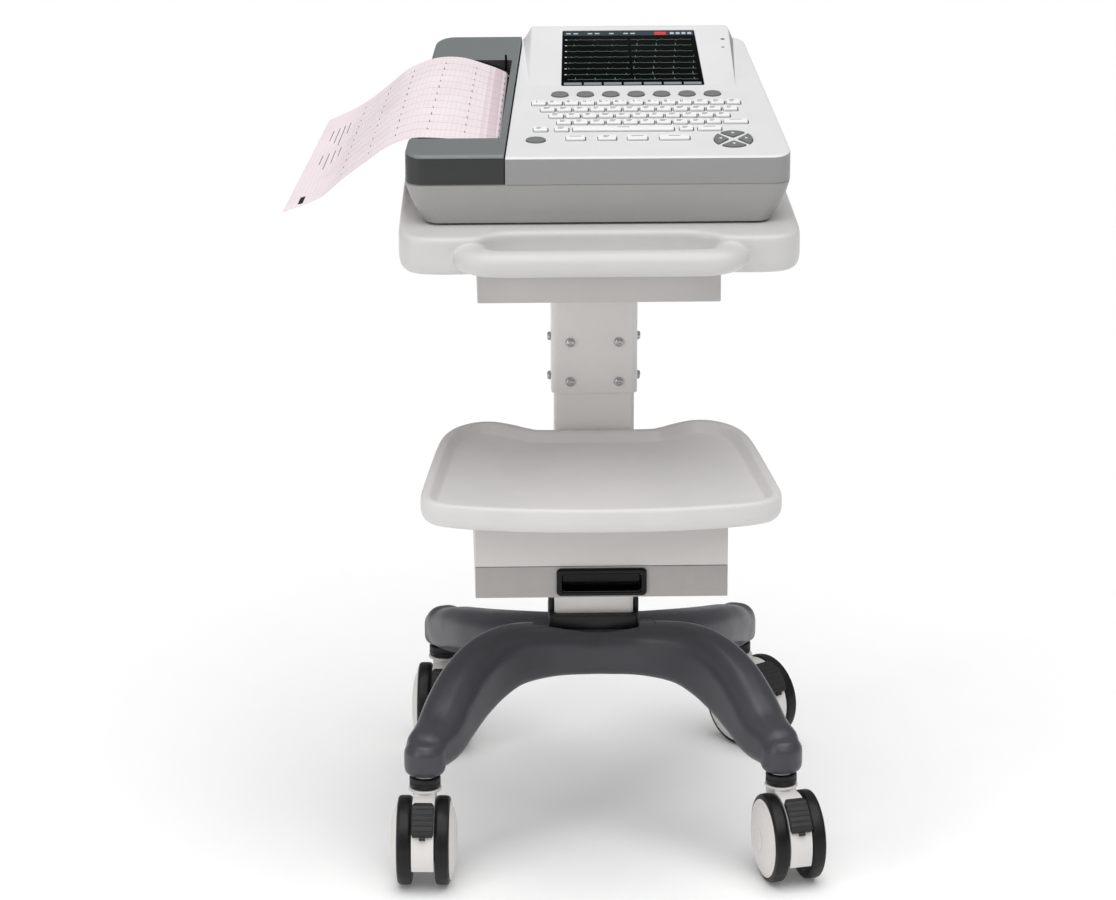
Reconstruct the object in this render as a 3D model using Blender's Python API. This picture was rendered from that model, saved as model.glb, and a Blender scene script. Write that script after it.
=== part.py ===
"""Twelve-lead ECG machine standing on its hospital trolley.

The object stands on four twin-wheel casters.  Two cast leg arches meet under a
column; the column carries a drawer, a dished tray and, in a telescopic sleeve,
a top board with a grab handle.  The ECG machine stands on the board: a lower
case, a white top shell with screen and keys, and a grey recorder casing on the
left that slides away sideways to load the folded paper.

Frame: +Z up, -Y is the front (the side the user stands on), +X is the user's
right.  The origin is on the floor under the column's axis.
Dimensions below are millimetres; MM turns them into metres.
"""
import math

import bmesh
import bpy
import numpy as np

for thing in list(bpy.data.objects):
    bpy.data.objects.remove(thing, do_unlink=True)

MM = 0.001
GAP = 0.4                      # clearance between pieces that touch

# ---------------------------------------------------------------- dimensions
# casters: stem axis x, y and the yaw each one is parked at
BASE_X = 4.5                   # the leg casting sits this far to the right of the column's axis
CASTERS = {
    "front_left": (BASE_X - 199.0, -200.0, -3.0),
    "front_right": (BASE_X + 199.5, -200.0, 14.0),
    "rear_left": (BASE_X - 174.5, 217.0, -3.0),
    "rear_right": (BASE_X + 173.5, 217.0, 38.0),
}
WHEEL_R = 50.0
WHEEL_IN, WHEEL_OUT = 13.3, 29.3   # the tread lies between these distances from the caster's mid-plane
HUB_CAP_OUT = 37.0
TRAIL = 29.0                   # axle ahead of the swivel axis
WEB_HALF = 12.5
FENDER_R = 49.5
PEDAL_IN, PEDAL_OUT = 50.3, 56.0
PEDAL_LOW, PEDAL_HIGH = 25.0, 73.0     # degrees above the axle's horizontal
COLLAR_R, COLLAR_LOW, COLLAR_HIGH = 17.5, 103.2, 116.0
STEM_R, STEM_BORE_R = 6.0, 6.5
LEG_BOTTOM = 118.6

# leg arches: x, y, z, width across, height of the section, for the right half
FRONT_LEG = [
    (0, -24.4, 198, 48, 55), (50, -31, 201, 50, 60), (95, -49, 202, 54, 69),
    (125, -71, 194.5, 56, 75), (150, -99, 179.5, 56, 75), (170, -130, 161.5, 53, 69),
    (185, -160, 147, 49, 59), (196, -189, 142.5, 47, 49),
]
REAR_LEG = [
    (0, 24.4, 197, 48, 50), (50, 33, 195, 50, 50), (95, 62, 186, 52, 52),
    (130, 108, 171, 52, 54), (153, 156, 156, 50, 54), (167, 193, 144, 48, 50),
    (172, 208, 142, 47, 49),
]
LEG_END_R = 23.4
HUB_TOP = 224.0

# column
TUBE_W, TUBE_D, TUBE_R, TUBE_WALL = 90.0, 40.0, 5.0, 3.0
TUBE_LOW, TUBE_HIGH = 229.0, 640.0
SLEEVE_WALL, SLEEVE_LOW, SLEEVE_HIGH = 3.0, 505.6, 654.6
SCREW_X, SCREW_Z = 27.3, (519.3, 565.7)
SOCKET_W, SOCKET_D, SOCKET_LOW, SOCKET_HIGH, SOCKET_TAB = 103.0, 60.0, 224.4, 241.0, 256.0

# tray and drawer
TRAY_TOP, TRAY_LOW, TRAY_DISH = 463.0, 433.0, 11.0
DRAWER_W, DRAWER_FRONT, DRAWER_BACK = 275.4, -262.0, -24.0
DRAWER_LOW, DRAWER_SPLIT = 348.4, 384.4
PULL_W, PULL_LOW, PULL_HIGH = 98.5, 350.6, 382.2

# top
BRACKET_W, BRACKET_FRONT, BRACKET_BACK = 266.0, -165.0, 70.0
BRACKET_LOW, BRACKET_HIGH = 655.0, 698.4
BOARD_LOW, BOARD_TOP = 698.8, 743.0
HANDLE_R, HANDLE_Y, HANDLE_Z = 14.7, -236.0, 720.5

# ECG machine
ECG_FRONT, ECG_BACK = -166.0, 165.0
ECG_LEFT_FRONT, ECG_LEFT_BACK = 213.0, 173.0      # half-widths either side of the column's plane
ECG_RIGHT_FRONT, ECG_RIGHT_BACK = 210.5, 174.0
ECG_LOW, ECG_SPLIT, ECG_TOP_FRONT = 747.0, 789.4, 819.7
PANEL_SLOPE = math.radians(8.7)
SEAM_FRONT, SEAM_BACK = -103.0, -76.0        # x of the joint between recorder casing and top shell
SCREEN_SLOPE = math.radians(15.2)
SCREEN_START = 28.0                          # y where the screen's plateau leaves the panel
SHELL = 3.0
SOFT_KEYS_X = [-38.2 + 28.25 * i for i in range(7)]
SOFT_KEYS_Y = 2.5
POWER_XY = (-67.9, -120.5)
ARROW_XY, ARROW_R = (147.6, -121.5), 21.0
KEY_PROUD = 1.6

# ---------------------------------------------------------------- materials
def material(name, rgb, rough=0.5, metal=0.0):
    mat = bpy.data.materials.new(name)
    mat.use_nodes = True
    shader = mat.node_tree.nodes["Principled BSDF"]
    shader.inputs["Base Color"].default_value = (*rgb, 1.0)
    shader.inputs["Roughness"].default_value = rough
    shader.inputs["Metallic"].default_value = metal
    mat.diffuse_color = (*rgb, 1.0)
    return mat


# ---------------------------------------------------------------- mesh helpers
def new_object(name, verts, faces, rgb, rough=0.5, metal=0.0, parent=None, place=(0, 0, 0), sharp=35):
    """A mesh object from points in millimetres, its faces turned outwards."""
    mesh = bpy.data.meshes.new(name)
    mesh.from_pydata([(x * MM, y * MM, z * MM) for x, y, z in verts], [], [tuple(f) for f in faces])
    bm = bmesh.new()
    bm.from_mesh(mesh)
    bmesh.ops.recalc_face_normals(bm, faces=bm.faces)
    bm.to_mesh(mesh)
    bm.free()
    mesh.shade_smooth()
    mesh.set_sharp_from_angle(angle=math.radians(sharp))
    mesh.materials.append(material(name + "_finish", rgb, rough, metal))
    obj = bpy.data.objects.new(name, mesh)
    bpy.context.scene.collection.objects.link(obj)
    obj.location = [v * MM for v in place]
    obj.parent = parent
    return obj


def tool(name, verts, faces, parent=None, place=(0, 0, 0)):
    """A cutter or a lump to be joined: never a piece of its own."""
    obj = new_object(name, verts, faces, (1, 0, 0), parent=parent, place=place)
    obj.hide_render = True
    obj.display_type = "WIRE"
    return obj


def boolean(obj, other, operation="DIFFERENCE"):
    mod = obj.modifiers.new(operation.title() + "_" + other.name, "BOOLEAN")
    mod.operation = operation
    mod.solver = "EXACT"
    mod.object = other


def merge(*shapes):
    """Several closed shapes as one list of points and faces."""
    verts, faces = [], []
    for v, f in shapes:
        start = len(verts)
        verts += [tuple(p) for p in v]
        faces += [[i + start for i in face] for face in f]
    return verts, faces


def loft(rings, closed=False):
    """Quads between rings of equal length; flat ends unless the last ring joins the first."""
    n = len(rings[0])
    verts = [tuple(p) for ring in rings for p in ring]
    faces = []
    last = len(rings) if closed else len(rings) - 1
    for i in range(last):
        a, b = i * n, ((i + 1) % len(rings)) * n
        for j in range(n):
            k = (j + 1) % n
            faces.append([a + j, a + k, b + k, b + j])
    if not closed:
        faces.append(list(range(n))[::-1])
        faces.append([(len(rings) - 1) * n + j for j in range(n)])
    return verts, faces


def revolve(profile, n=24, axis="z", closed=False):
    """Turns (radius, height) points about an axis. A radius of 0 is a point on the axis."""
    verts, rows = [], []
    for r, h in profile:
        if r < 1e-6:
            rows.append([len(verts)] * n)
            verts.append((0.0, 0.0, h))
        else:
            rows.append([len(verts) + j for j in range(n)])
            verts += [(r * math.cos(2 * math.pi * j / n), r * math.sin(2 * math.pi * j / n), h) for j in range(n)]
    faces = []
    pairs = list(zip(rows, rows[1:])) + ([(rows[-1], rows[0])] if closed else [])
    for a, b in pairs:
        for j in range(n):
            k = (j + 1) % n
            face = [a[j], a[k], b[k], b[j]]
            face = [v for i, v in enumerate(face) if v not in face[:i]]
            if len(face) > 2:
                faces.append(face)
    if not closed:
        for row, turn in ((rows[0], -1), (rows[-1], 1)):
            if row[0] != row[1]:
                faces.append(row[::turn])
    if axis == "x":
        verts = [(h, x, y) for x, y, h in verts]
    elif axis == "y":
        verts = [(y, h, x) for x, y, h in verts]
    return verts, faces


def moved(shape, dx=0.0, dy=0.0, dz=0.0):
    verts, faces = shape
    return [(x + dx, y + dy, z + dz) for x, y, z in verts], faces


def cylinder(r, low, high, n=20, axis="z", at=(0, 0, 0)):
    return moved(revolve([(r, low), (r, high)], n, axis), *at)


def rounded_polygon(corners, radii, n=4):
    """A flat outline with each corner rounded to its own radius, as (x, y) points."""
    out = []
    m = len(corners)
    for i in range(m):
        p, a, b = np.array(corners[i], float), np.array(corners[i - 1], float), np.array(corners[(i + 1) % m], float)
        u, v = (a - p) / np.linalg.norm(a - p), (b - p) / np.linalg.norm(b - p)
        r = radii[i] if hasattr(radii, "__len__") else radii
        half = math.acos(max(-1, min(1, float(u @ v)))) / 2
        if r <= 0 or abs(half - math.pi / 2) < 1e-3:
            out.append(tuple(p))
            continue
        t = r / math.tan(half)
        centre = p + (u + v) / np.linalg.norm(u + v) * (r / math.sin(half))
        s, e = p + u * t - centre, p + v * t - centre
        a0, a1 = math.atan2(s[1], s[0]), math.atan2(e[1], e[0])
        turn = (a1 - a0 + math.pi) % (2 * math.pi) - math.pi
        for k in range(n + 1):
            ang = a0 + turn * k / n
            out.append((centre[0] + r * math.cos(ang), centre[1] + r * math.sin(ang)))
    return out


def box_outline(w, d, r, n=4, at=(0.0, 0.0)):
    x, y = at
    return rounded_polygon([(x - w / 2, y - d / 2), (x + w / 2, y - d / 2), (x + w / 2, y + d / 2), (x - w / 2, y + d / 2)], r, n)


def prism(outline, low, high):
    """Straight walls over an outline, between two heights; each may be a number or a function of x and y."""
    z0 = low if callable(low) else (lambda x, y: low)
    z1 = high if callable(high) else (lambda x, y: high)
    return loft([[(x, y, z0(x, y)) for x, y in outline], [(x, y, z1(x, y)) for x, y in outline]])


def block(x0, x1, y0, y1, z0, z1):
    return prism([(x0, y0), (x1, y0), (x1, y1), (x0, y1)], z0, z1)


def smooth_curve(points, steps, closed=False):
    """Catmull-Rom curve through points of any dimension."""
    p = [np.array(q, float) for q in points]
    m = len(p)
    out = []
    for i in range(m if closed else m - 1):
        if closed:
            a, b, c, d = p[i - 1], p[i], p[(i + 1) % m], p[(i + 2) % m]
        else:
            b, c = p[i], p[i + 1]
            a = p[i - 1] if i else 2 * b - c
            d = p[i + 2] if i + 2 < m else 2 * c - b
        for k in range(steps):
            t = k / steps
            out.append(0.5 * (2 * b + (c - a) * t + (2 * a - 5 * b + 4 * c - d) * t * t + (3 * b - a - 3 * c + d) * t ** 3))
    if not closed:
        out.append(p[-1])
    return out


def inset(outline, distance):
    """The closed outline (counter-clockwise) moved inwards along its normals."""
    pts = np.array([q[:2] for q in outline], float)
    tangent = np.roll(pts, -1, 0) - np.roll(pts, 1, 0)
    tangent /= np.linalg.norm(tangent, axis=1)[:, None]
    normal = np.stack([-tangent[:, 1], tangent[:, 0]], 1)
    return [tuple(q) for q in pts + normal * distance]


# ---------------------------------------------------------------- base
def leg_rings(stations, steps, corner_n=3):
    """Section rings along the right half of an arch, from the hub outwards."""
    line = smooth_curve(stations, steps)
    rings = []
    for i, s in enumerate(line):
        before, after = line[max(i - 1, 0)][:3], line[min(i + 1, len(line) - 1)][:3]
        along = after - before
        if i == 0:
            along = np.array([1.0, 0, 0])
        along /= np.linalg.norm(along)
        plan = np.array([along[0], along[1], 0.0])
        plan /= np.linalg.norm(plan)
        side = np.array([-plan[1], plan[0], 0.0])
        up = np.cross(along, side)
        w, h = s[3], s[4]
        section = box_outline(w, h, min(w, h) * 0.36, corner_n)
        rings.append([s[:3] + side * a + up * b for a, b in section])
    # the far end closes as a blunt dome
    centre, last = line[-1][:3], rings[-1]
    along = line[-1][:3] - line[-2][:3]
    along /= np.linalg.norm(along)
    for push, scale in ((9.0, 0.93), (17.0, 0.74), (21.5, 0.45)):
        rings.append([centre + along * push + (q - centre) * scale for q in last])
    return rings


def arch(name, stations):
    half = leg_rings(stations, 2)
    left = [[(-q[0], q[1], q[2]) for q in ring] for ring in half[1:]][::-1]
    obj = new_object(name, *moved(loft(left + half), BASE_X), (0.075, 0.075, 0.085), 0.45)
    side = "front" if stations[0][1] < 0 else "rear"
    bosses, bores = [], []
    for key, (x, y, _) in CASTERS.items():
        if key.startswith(side):
            r = LEG_END_R
            boss = revolve([(r - 7, LEG_BOTTOM), (r - 2, LEG_BOTTOM + 1.5), (r, LEG_BOTTOM + 6), (r, 148.0), (r - 8, 158.0)], 20)
            bosses.append(moved(boss, x, y))
            bores.append(cylinder(STEM_BORE_R, LEG_BOTTOM - 10, 152.0, 16, at=(x, y, 0)))
    boolean(obj, tool(name + "_bosses", *merge(*bosses)), "UNION")
    boolean(obj, tool(name + "_underside_cut", *block(-300, 300, -300, 300, 60, LEG_BOTTOM)))
    boolean(obj, tool(name + "_stem_bores", *merge(*bores)))
    return obj


front_arch = arch("front_leg_arch", FRONT_LEG)
rear_arch = arch("rear_leg_arch", REAR_LEG)
# a flat seat for the column's socket, cut across both arches, and the joint between them
seat = tool("hub_seat_cut", *block(-70, 70, -40, 40, HUB_TOP, HUB_TOP + 60))
boolean(front_arch, seat)
boolean(rear_arch, seat)
joint = tool("hub_joint_cut", *block(-260, 260, -0.3, 0.3, 120, 320))
boolean(front_arch, joint)
boolean(rear_arch, joint)

socket = new_object("column_socket", *prism(box_outline(SOCKET_W, SOCKET_D, 6), SOCKET_LOW, SOCKET_HIGH), (0.012, 0.012, 0.013), 0.4)
for sx in (-1, 1):
    tab = prism(box_outline(6.2, 26, 3, 2, at=(sx * (SOCKET_W / 2 - 3.1), 0)), SOCKET_HIGH - 4, SOCKET_TAB)
    boolean(socket, tool("socket_tab_%+d" % sx, *tab), "UNION")
boolean(socket, tool("socket_recess", *prism(box_outline(TUBE_W + 2 * GAP, TUBE_D + 2 * GAP, TUBE_R + GAP, 4), SOCKET_LOW + 4.2, SOCKET_TAB + 10)))


# ---------------------------------------------------------------- casters
def caster(key, x, y, yaw):
    pivot = bpy.data.objects.new("caster_" + key + "_axis", None)
    pivot.location = (x * MM, y * MM, 0)
    pivot.rotation_euler = (0, 0, math.radians(yaw))
    bpy.context.scene.collection.objects.link(pivot)
    name = "caster_" + key
    stem = [(0, 70), (STEM_R, 70), (STEM_R, COLLAR_LOW), (COLLAR_R - 1.5, COLLAR_LOW), (COLLAR_R, COLLAR_LOW + 1.5),
            (COLLAR_R, COLLAR_HIGH - 2), (COLLAR_R - 2.5, COLLAR_HIGH), (10, COLLAR_HIGH), (10, LEG_BOTTOM - 0.4),
            (STEM_R, LEG_BOTTOM - 0.4), (STEM_R, 149), (0, 150.5)]
    new_object(name + "_stem", *revolve(stem, 20), (0.02, 0.02, 0.022), 0.5, parent=pivot)

    # swivel housing: a web between the wheels whose front edge follows them, a neck under the collar, and two stub axles
    outline = []
    for k in range(11):
        a = math.radians(-24 + (105 + 24) * k / 10)
        outline.append((-TRAIL - FENDER_R * math.cos(a), WHEEL_R + FENDER_R * math.sin(a)))
    outline += [(-16.2, 102.6), (14.5, 102.6), (17, 100), (17, 88), (14, 76), (6, 63), (-5, 52), (-14, 42), (-29, 37), (-45, 36), (-57, 37)]
    web = [[(sx * WEB_HALF, py, pz) for py, pz in outline] for sx in (-1, 1)]
    housing = new_object(name + "_housing", *loft(web), (0.78, 0.77, 0.76), 0.45, parent=pivot)
    boolean(housing, tool(name + "_shoulder", *cylinder(18.5, 99.7, 102.7, 20), parent=pivot), "UNION")
    boolean(housing, tool(name + "_stub_axles", *cylinder(5.0, -26.3, 26.3, 16, "x", at=(0, -TRAIL, WHEEL_R)), parent=pivot), "UNION")
    boolean(housing, tool(name + "_stem_bore", *cylinder(STEM_R + 0.5, 68.5, 120, 20), parent=pivot))

    # wheels: tread, disc and hub cap turn on the stub axle
    for side, sx in (("left", -1), ("right", 1)):
        profile = [(0, 27.2), (5.4, 27.2), (5.4, WHEEL_IN), (46.5, WHEEL_IN), (49.2, WHEEL_IN + 1.4), (WHEEL_R, WHEEL_IN + 4),
                   (WHEEL_R, WHEEL_OUT - 4), (48.6, WHEEL_OUT - 0.8), (45, WHEEL_OUT), (43, 30.3), (32, 34.2), (17, 36.5), (0, HUB_CAP_OUT)]
        verts, faces = revolve(profile, 32, "x")
        verts = [(sx * h, a, b) for h, a, b in verts]
        new_object(name + "_wheel_" + side, verts, faces, (0.02, 0.02, 0.021), 0.6, parent=pivot, place=(0, -TRAIL, WHEEL_R))

    # brake pedal: a curved plate lying on the fender, hinged at its upper end
    low, high = math.radians(PEDAL_LOW), math.radians(PEDAL_HIGH)
    hinge_y, hinge_z = -TRAIL - PEDAL_IN * math.cos(high), WHEEL_R + PEDAL_IN * math.sin(high)
    inner, outer = [], []
    for k in range(9):
        a = low + (high - low) * k / 8
        swell = PEDAL_OUT + (1.0 if k % 2 and k < 8 else 0.0) - (2.0 if k in (0, 8) else 0.0)
        inner.append((-TRAIL - PEDAL_IN * math.cos(a), WHEEL_R + PEDAL_IN * math.sin(a)))
        outer.append((-TRAIL - swell * math.cos(a), WHEEL_R + swell * math.sin(a)))
    pedal = [[(sx * 12.4, py - hinge_y, pz - hinge_z) for py, pz in inner + outer[::-1]] for sx in (-1, 1)]
    new_object(name + "_brake_pedal", *loft(pedal), (0.03, 0.03, 0.035), 0.5, parent=pivot, place=(0, hinge_y, hinge_z))


for key, (cx, cy, yaw) in CASTERS.items():
    caster(key, cx, cy, yaw)


# ---------------------------------------------------------------- column
def tube_shape(w, d, r, wall, low, high):
    out, inn = box_outline(w, d, r), box_outline(w - 2 * wall, d - 2 * wall, max(r - wall, 1.0))
    rings = [[(x, y, z) for x, y in o] for o, z in ((out, low), (out, high), (inn, high), (inn, low))]
    return loft(rings, closed=True)


tube = new_object("column_tube", *tube_shape(TUBE_W, TUBE_D, TUBE_R, TUBE_WALL, TUBE_LOW, TUBE_HIGH), (0.62, 0.60, 0.58), 0.4)
sleeve_w, sleeve_d = TUBE_W + 2 * (SLEEVE_WALL + GAP), TUBE_D + 2 * (SLEEVE_WALL + GAP)
sleeve = new_object("column_sleeve", *tube_shape(sleeve_w, sleeve_d, TUBE_R + 2, SLEEVE_WALL, SLEEVE_LOW, SLEEVE_HIGH), (0.64, 0.62, 0.60), 0.4)
front_face = -sleeve_d / 2
holes = [cylinder(2.9, front_face - 6, front_face + 14, 12, "y", at=(sx * SCREW_X, 0, z)) for sx in (-1, 1) for z in SCREW_Z]
holes += [cylinder(3.5, -80, 80, 12, "x", at=(0, 2, z)) for z in SCREW_Z]
hole_tool = tool("column_screw_holes", *merge(*holes))
boolean(tube, hole_tool)
boolean(sleeve, hole_tool)
number = 1
for z in SCREW_Z:
    for sx in (-1, 1):
        profile = [(0, 13.0), (2.5, 13.0), (2.5, -GAP), (4.9, -GAP), (4.9, -2.2), (3.9, -3.6), (0, -3.9)]
        new_object("sleeve_screw_%d" % number, *moved(revolve(profile, 14, "y"), dy=front_face), (0.5, 0.5, 0.5), 0.3, 1.0, place=(sx * SCREW_X, 0, z))
        number += 1
half = sleeve_w / 2 + GAP
for name, z in (("lower", SCREW_Z[0]), ("upper", SCREW_Z[1])):
    profile = [(0, -half - 3.9), (3.9, -half - 3.4), (4.9, -half - 2), (4.9, -half), (3.0, -half), (3.0, half), (4.9, half), (4.9, half + 2), (3.9, half + 3.4), (0, half + 3.9)]
    new_object("sleeve_cross_bolt_" + name, *revolve(profile, 14, "x"), (0.5, 0.5, 0.5), 0.3, 1.0, place=(0, 2, z))

# ---------------------------------------------------------------- tray
TRAY_HALF = [
    (0, -304), (70, -301), (130, -293), (169, -283), (190, -269), (197, -246), (193.5, -205), (186, -140),
    (178.5, -80), (171, -40), (157, -10), (135, 8), (112, 10), (90, -2), (72, -16), (52, -21.5),
]


def tray_outline(steps):
    right = TRAY_HALF
    left = [(-x, y) for x, y in right[:0:-1]]
    return smooth_curve(right + left, steps, closed=True)


tray_line = tray_outline(2)
tray_profile = [(16, TRAY_LOW), (5, TRAY_LOW + 3), (0.5, TRAY_LOW + 10), (0, TRAY_TOP - 8), (1.5, TRAY_TOP - 3), (5, TRAY_TOP),
                (10, TRAY_TOP - 1), (15, TRAY_TOP - 7), (21, TRAY_TOP - TRAY_DISH)]
tray_rings = [[(x, y, z) for x, y in inset(tray_line, d)] for d, z in tray_profile]
new_object("lower_tray", *loft(tray_rings), (0.74, 0.74, 0.75), 0.42)

# ---------------------------------------------------------------- drawer
hw = DRAWER_W / 2
house = new_object("drawer_housing", *block(-hw, hw, DRAWER_FRONT, DRAWER_BACK, DRAWER_LOW, TRAY_LOW - GAP), (0.56, 0.55, 0.54), 0.45)
cuts = [block(-hw + 5, hw - 5, DRAWER_FRONT - 10, DRAWER_BACK - 8, DRAWER_LOW + 2.6, DRAWER_SPLIT - 2.5),
        block(-hw + 5, hw - 5, DRAWER_FRONT + 4, DRAWER_BACK - 6, DRAWER_SPLIT + 2, TRAY_LOW + 20)]
boolean(house, tool("drawer_space", *cuts[0]))
boolean(house, tool("housing_upper_space", *cuts[1]))
boolean(house, tool("drawer_front_step", *block(-hw - 10, hw + 10, DRAWER_FRONT - 10, DRAWER_FRONT + 6.5, DRAWER_LOW - 10, DRAWER_SPLIT)))

dw = hw - 7.5
drawer = new_object("drawer", *block(-hw, hw, DRAWER_FRONT, DRAWER_FRONT + 6, DRAWER_LOW, DRAWER_SPLIT - 0.6), (0.47, 0.46, 0.45), 0.45)
boolean(drawer, tool("drawer_box", *block(-dw, dw, DRAWER_FRONT + 3, DRAWER_BACK - 12, DRAWER_LOW + 3.6, DRAWER_SPLIT - 4.5)), "UNION")
boolean(drawer, tool("drawer_hollow", *block(-dw + 2.5, dw - 2.5, DRAWER_FRONT + 8.5, DRAWER_BACK - 14.5, DRAWER_LOW + 6.1, DRAWER_SPLIT + 10)))
boolean(drawer, tool("pull_cut", *block(-PULL_W / 2 + 3, PULL_W / 2 - 3, DRAWER_FRONT - 5, DRAWER_FRONT + 9.5, PULL_LOW + 4.5, PULL_HIGH - 4.5)))
pull_outline = lambda w, h, r: [(x, z) for x, z in box_outline(w, h, r, 3, at=(0, (PULL_LOW + PULL_HIGH) / 2))]
pull_rings = []
ph = PULL_HIGH - PULL_LOW
for dx, y in ((0, DRAWER_FRONT - GAP), (0, DRAWER_FRONT - 2.6), (3.0, DRAWER_FRONT - 3.4), (9.5, DRAWER_FRONT - 2.2), (10.5, DRAWER_FRONT + 13.0)):
    pull_rings.append([(x, y, z) for x, z in pull_outline(PULL_W - 2 * dx, ph - 2 * dx * (0.62 if dx > 8 else 1), max(4.5 - dx * 0.3, 1.5))])
outer_ring = [(x, DRAWER_FRONT - GAP, z) for x, z in pull_outline(PULL_W - 8, ph - 11, 2)]
outer_back = [(x, DRAWER_FRONT + 16.0, z) for x, z in pull_outline(PULL_W - 8, ph - 11, 2)]
new_object("drawer_pull", *loft([outer_back, outer_ring] + pull_rings), (0.01, 0.01, 0.01), 0.2)

# ---------------------------------------------------------------- top bracket, board and handle
bracket = new_object("top_bracket", *block(-BRACKET_W / 2, BRACKET_W / 2, BRACKET_FRONT, BRACKET_BACK, BRACKET_LOW, BRACKET_HIGH), (0.6, 0.58, 0.56), 0.42)
boolean(bracket, tool("bracket_hollow", *block(-BRACKET_W / 2 + 3, BRACKET_W / 2 - 3, BRACKET_FRONT + 3, BRACKET_BACK - 3, BRACKET_LOW + 3, BRACKET_HIGH + 10)))

BOARD_HALF = [
    (0, -188.5), (60, -188.5), (98, -190), (117, -198), (131, -208), (150, -212), (178, -212), (201, -207), (214, -193), (218, -168),
    (217, -110), (214, -20), (210, 80), (203, 138), (188, 158), (160, 165), (80, 166),
]


def board_outline(steps):
    left = [(-x, y) for x, y in BOARD_HALF[:0:-1]]
    return smooth_curve(BOARD_HALF + left, steps, closed=True)


board_line = board_outline(2)
board_profile = [(14, BOARD_LOW), (5, BOARD_LOW + 2.5), (1, BOARD_LOW + 8), (0, BOARD_LOW + 15), (0, BOARD_TOP - 9), (1.5, BOARD_TOP - 3), (6, BOARD_TOP), (12, BOARD_TOP)]
board_rings = [[(x, y, z) for x, y in inset(board_line, d)] for d, z in board_profile]
new_object("top_board", *loft(board_rings), (0.85, 0.85, 0.85), 0.4)

bar = [(147, -212.6), (145, -219), (138, -227), (127, -233), (113, HANDLE_Y + 0.6), (98, HANDLE_Y), (60, HANDLE_Y)]
bar_line = smooth_curve([(-x, y) for x, y in bar] + bar[::-1], 3)
handle_rings = []
for i, q in enumerate(bar_line):
    d = bar_line[min(i + 1, len(bar_line) - 1)] - bar_line[max(i - 1, 0)]
    if i in (0, len(bar_line) - 1):
        d = np.array([0.0, -1.0 if i == 0 else 1.0])
    d /= np.linalg.norm(d)
    across = np.array([-d[1], d[0]])
    ring = []
    for k in range(14):
        a = 2 * math.pi * k / 14
        off = HANDLE_R * math.cos(a) * across
        ring.append((q[0] + off[0], q[1] + off[1], HANDLE_Z + HANDLE_R * math.sin(a)))
    handle_rings.append(ring)
new_object("push_handle", *loft(handle_rings), (0.86, 0.86, 0.86), 0.35)


# ---------------------------------------------------------------- ECG machine
def along(front, back, y):
    return front + (back - front) * (y - ECG_FRONT) / (ECG_BACK - ECG_FRONT)


def left_x(y):
    return -along(ECG_LEFT_FRONT, ECG_LEFT_BACK, y)


def right_x(y):
    return along(ECG_RIGHT_FRONT, ECG_RIGHT_BACK, y)


def seam_x(y):
    return along(SEAM_FRONT, SEAM_BACK, y)


def panel_z(y):
    return ECG_TOP_FRONT + (y - ECG_FRONT) * math.tan(PANEL_SLOPE)


def screen_z(y):
    return panel_z(SCREEN_START) + (y - SCREEN_START) * math.tan(SCREEN_SLOPE)


def ecg_outline(d, r, n=4):
    y0, y1 = ECG_FRONT + d, ECG_BACK - d
    return rounded_polygon([(left_x(y0) + d, y0), (right_x(y0) - d, y0), (right_x(y1) - d, y1), (left_x(y1) + d, y1)], r, n)


# lower case: an open box with feet, and a recess for the mains inlet in its rear wall
def case_outline(sides, ends, r, n=4):
    y0, y1 = ECG_FRONT + ends, ECG_BACK - ends
    return rounded_polygon([(left_x(y0) + sides, y0), (right_x(y0) - sides, y0), (right_x(y1) - sides, y1), (left_x(y1) + sides, y1)], r, n)


# its side walls lean in towards the bottom, its front and rear walls stay nearly upright
rings = [[(x, y, z) for x, y in case_outline(dx, dy, r)] for dx, dy, z, r in (
    (24, 6, ECG_LOW, 14), (20.5, 3.4, ECG_LOW + 1.2, 16), (17, 2.6, ECG_LOW + 5, 17), (9, 1.6, ECG_LOW + 18, 18), (0.5, 0.5, ECG_SPLIT - 4, 20), (0, 0, ECG_SPLIT - GAP, 20),
    (SHELL, SHELL, ECG_SPLIT - GAP, 17), (SHELL + 9, SHELL + 1.6, ECG_LOW + 18, 15), (SHELL + 21, SHELL + 4, ECG_LOW + 4, 11))]
lower_case = new_object("lower_case", *loft(rings), (0.45, 0.45, 0.44), 0.45)
feet = [cylinder(6.5, BOARD_TOP + 0.3, ECG_LOW + 2, 14, at=(x, y, 0)) for x, y in ((-170, -148), (170, -148), (-138, 130), (138, 130))]
boolean(lower_case, tool("case_feet", *merge(*feet)), "UNION")
boolean(lower_case, tool("inlet_cut", *block(92, 120, ECG_BACK - 12, ECG_BACK + 10, 762, 783)))


def panel_point(x, y, lift, slope=PANEL_SLOPE, base=panel_z):
    """A point lifted off the sloping panel along its normal, over the panel's point (x, y)."""
    return (x, y - lift * math.sin(slope), base(y) + lift * math.cos(slope))


def panel_prism(outline, low, high, slope=PANEL_SLOPE, base=panel_z):
    return loft([[panel_point(x, y, low, slope, base) for x, y in outline], [panel_point(x, y, high, slope, base) for x, y in outline]])


def shell_outline(d, r0, r1, seam_gap):
    y0, y1 = ECG_FRONT + d, ECG_BACK - d
    return rounded_polygon([(seam_x(y0) + seam_gap, y0), (right_x(y0) - d, y0), (right_x(y1) - d, y1), (seam_x(y1) + seam_gap, y1)], [1.5, r0, r1, 1.5], 4)


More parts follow.
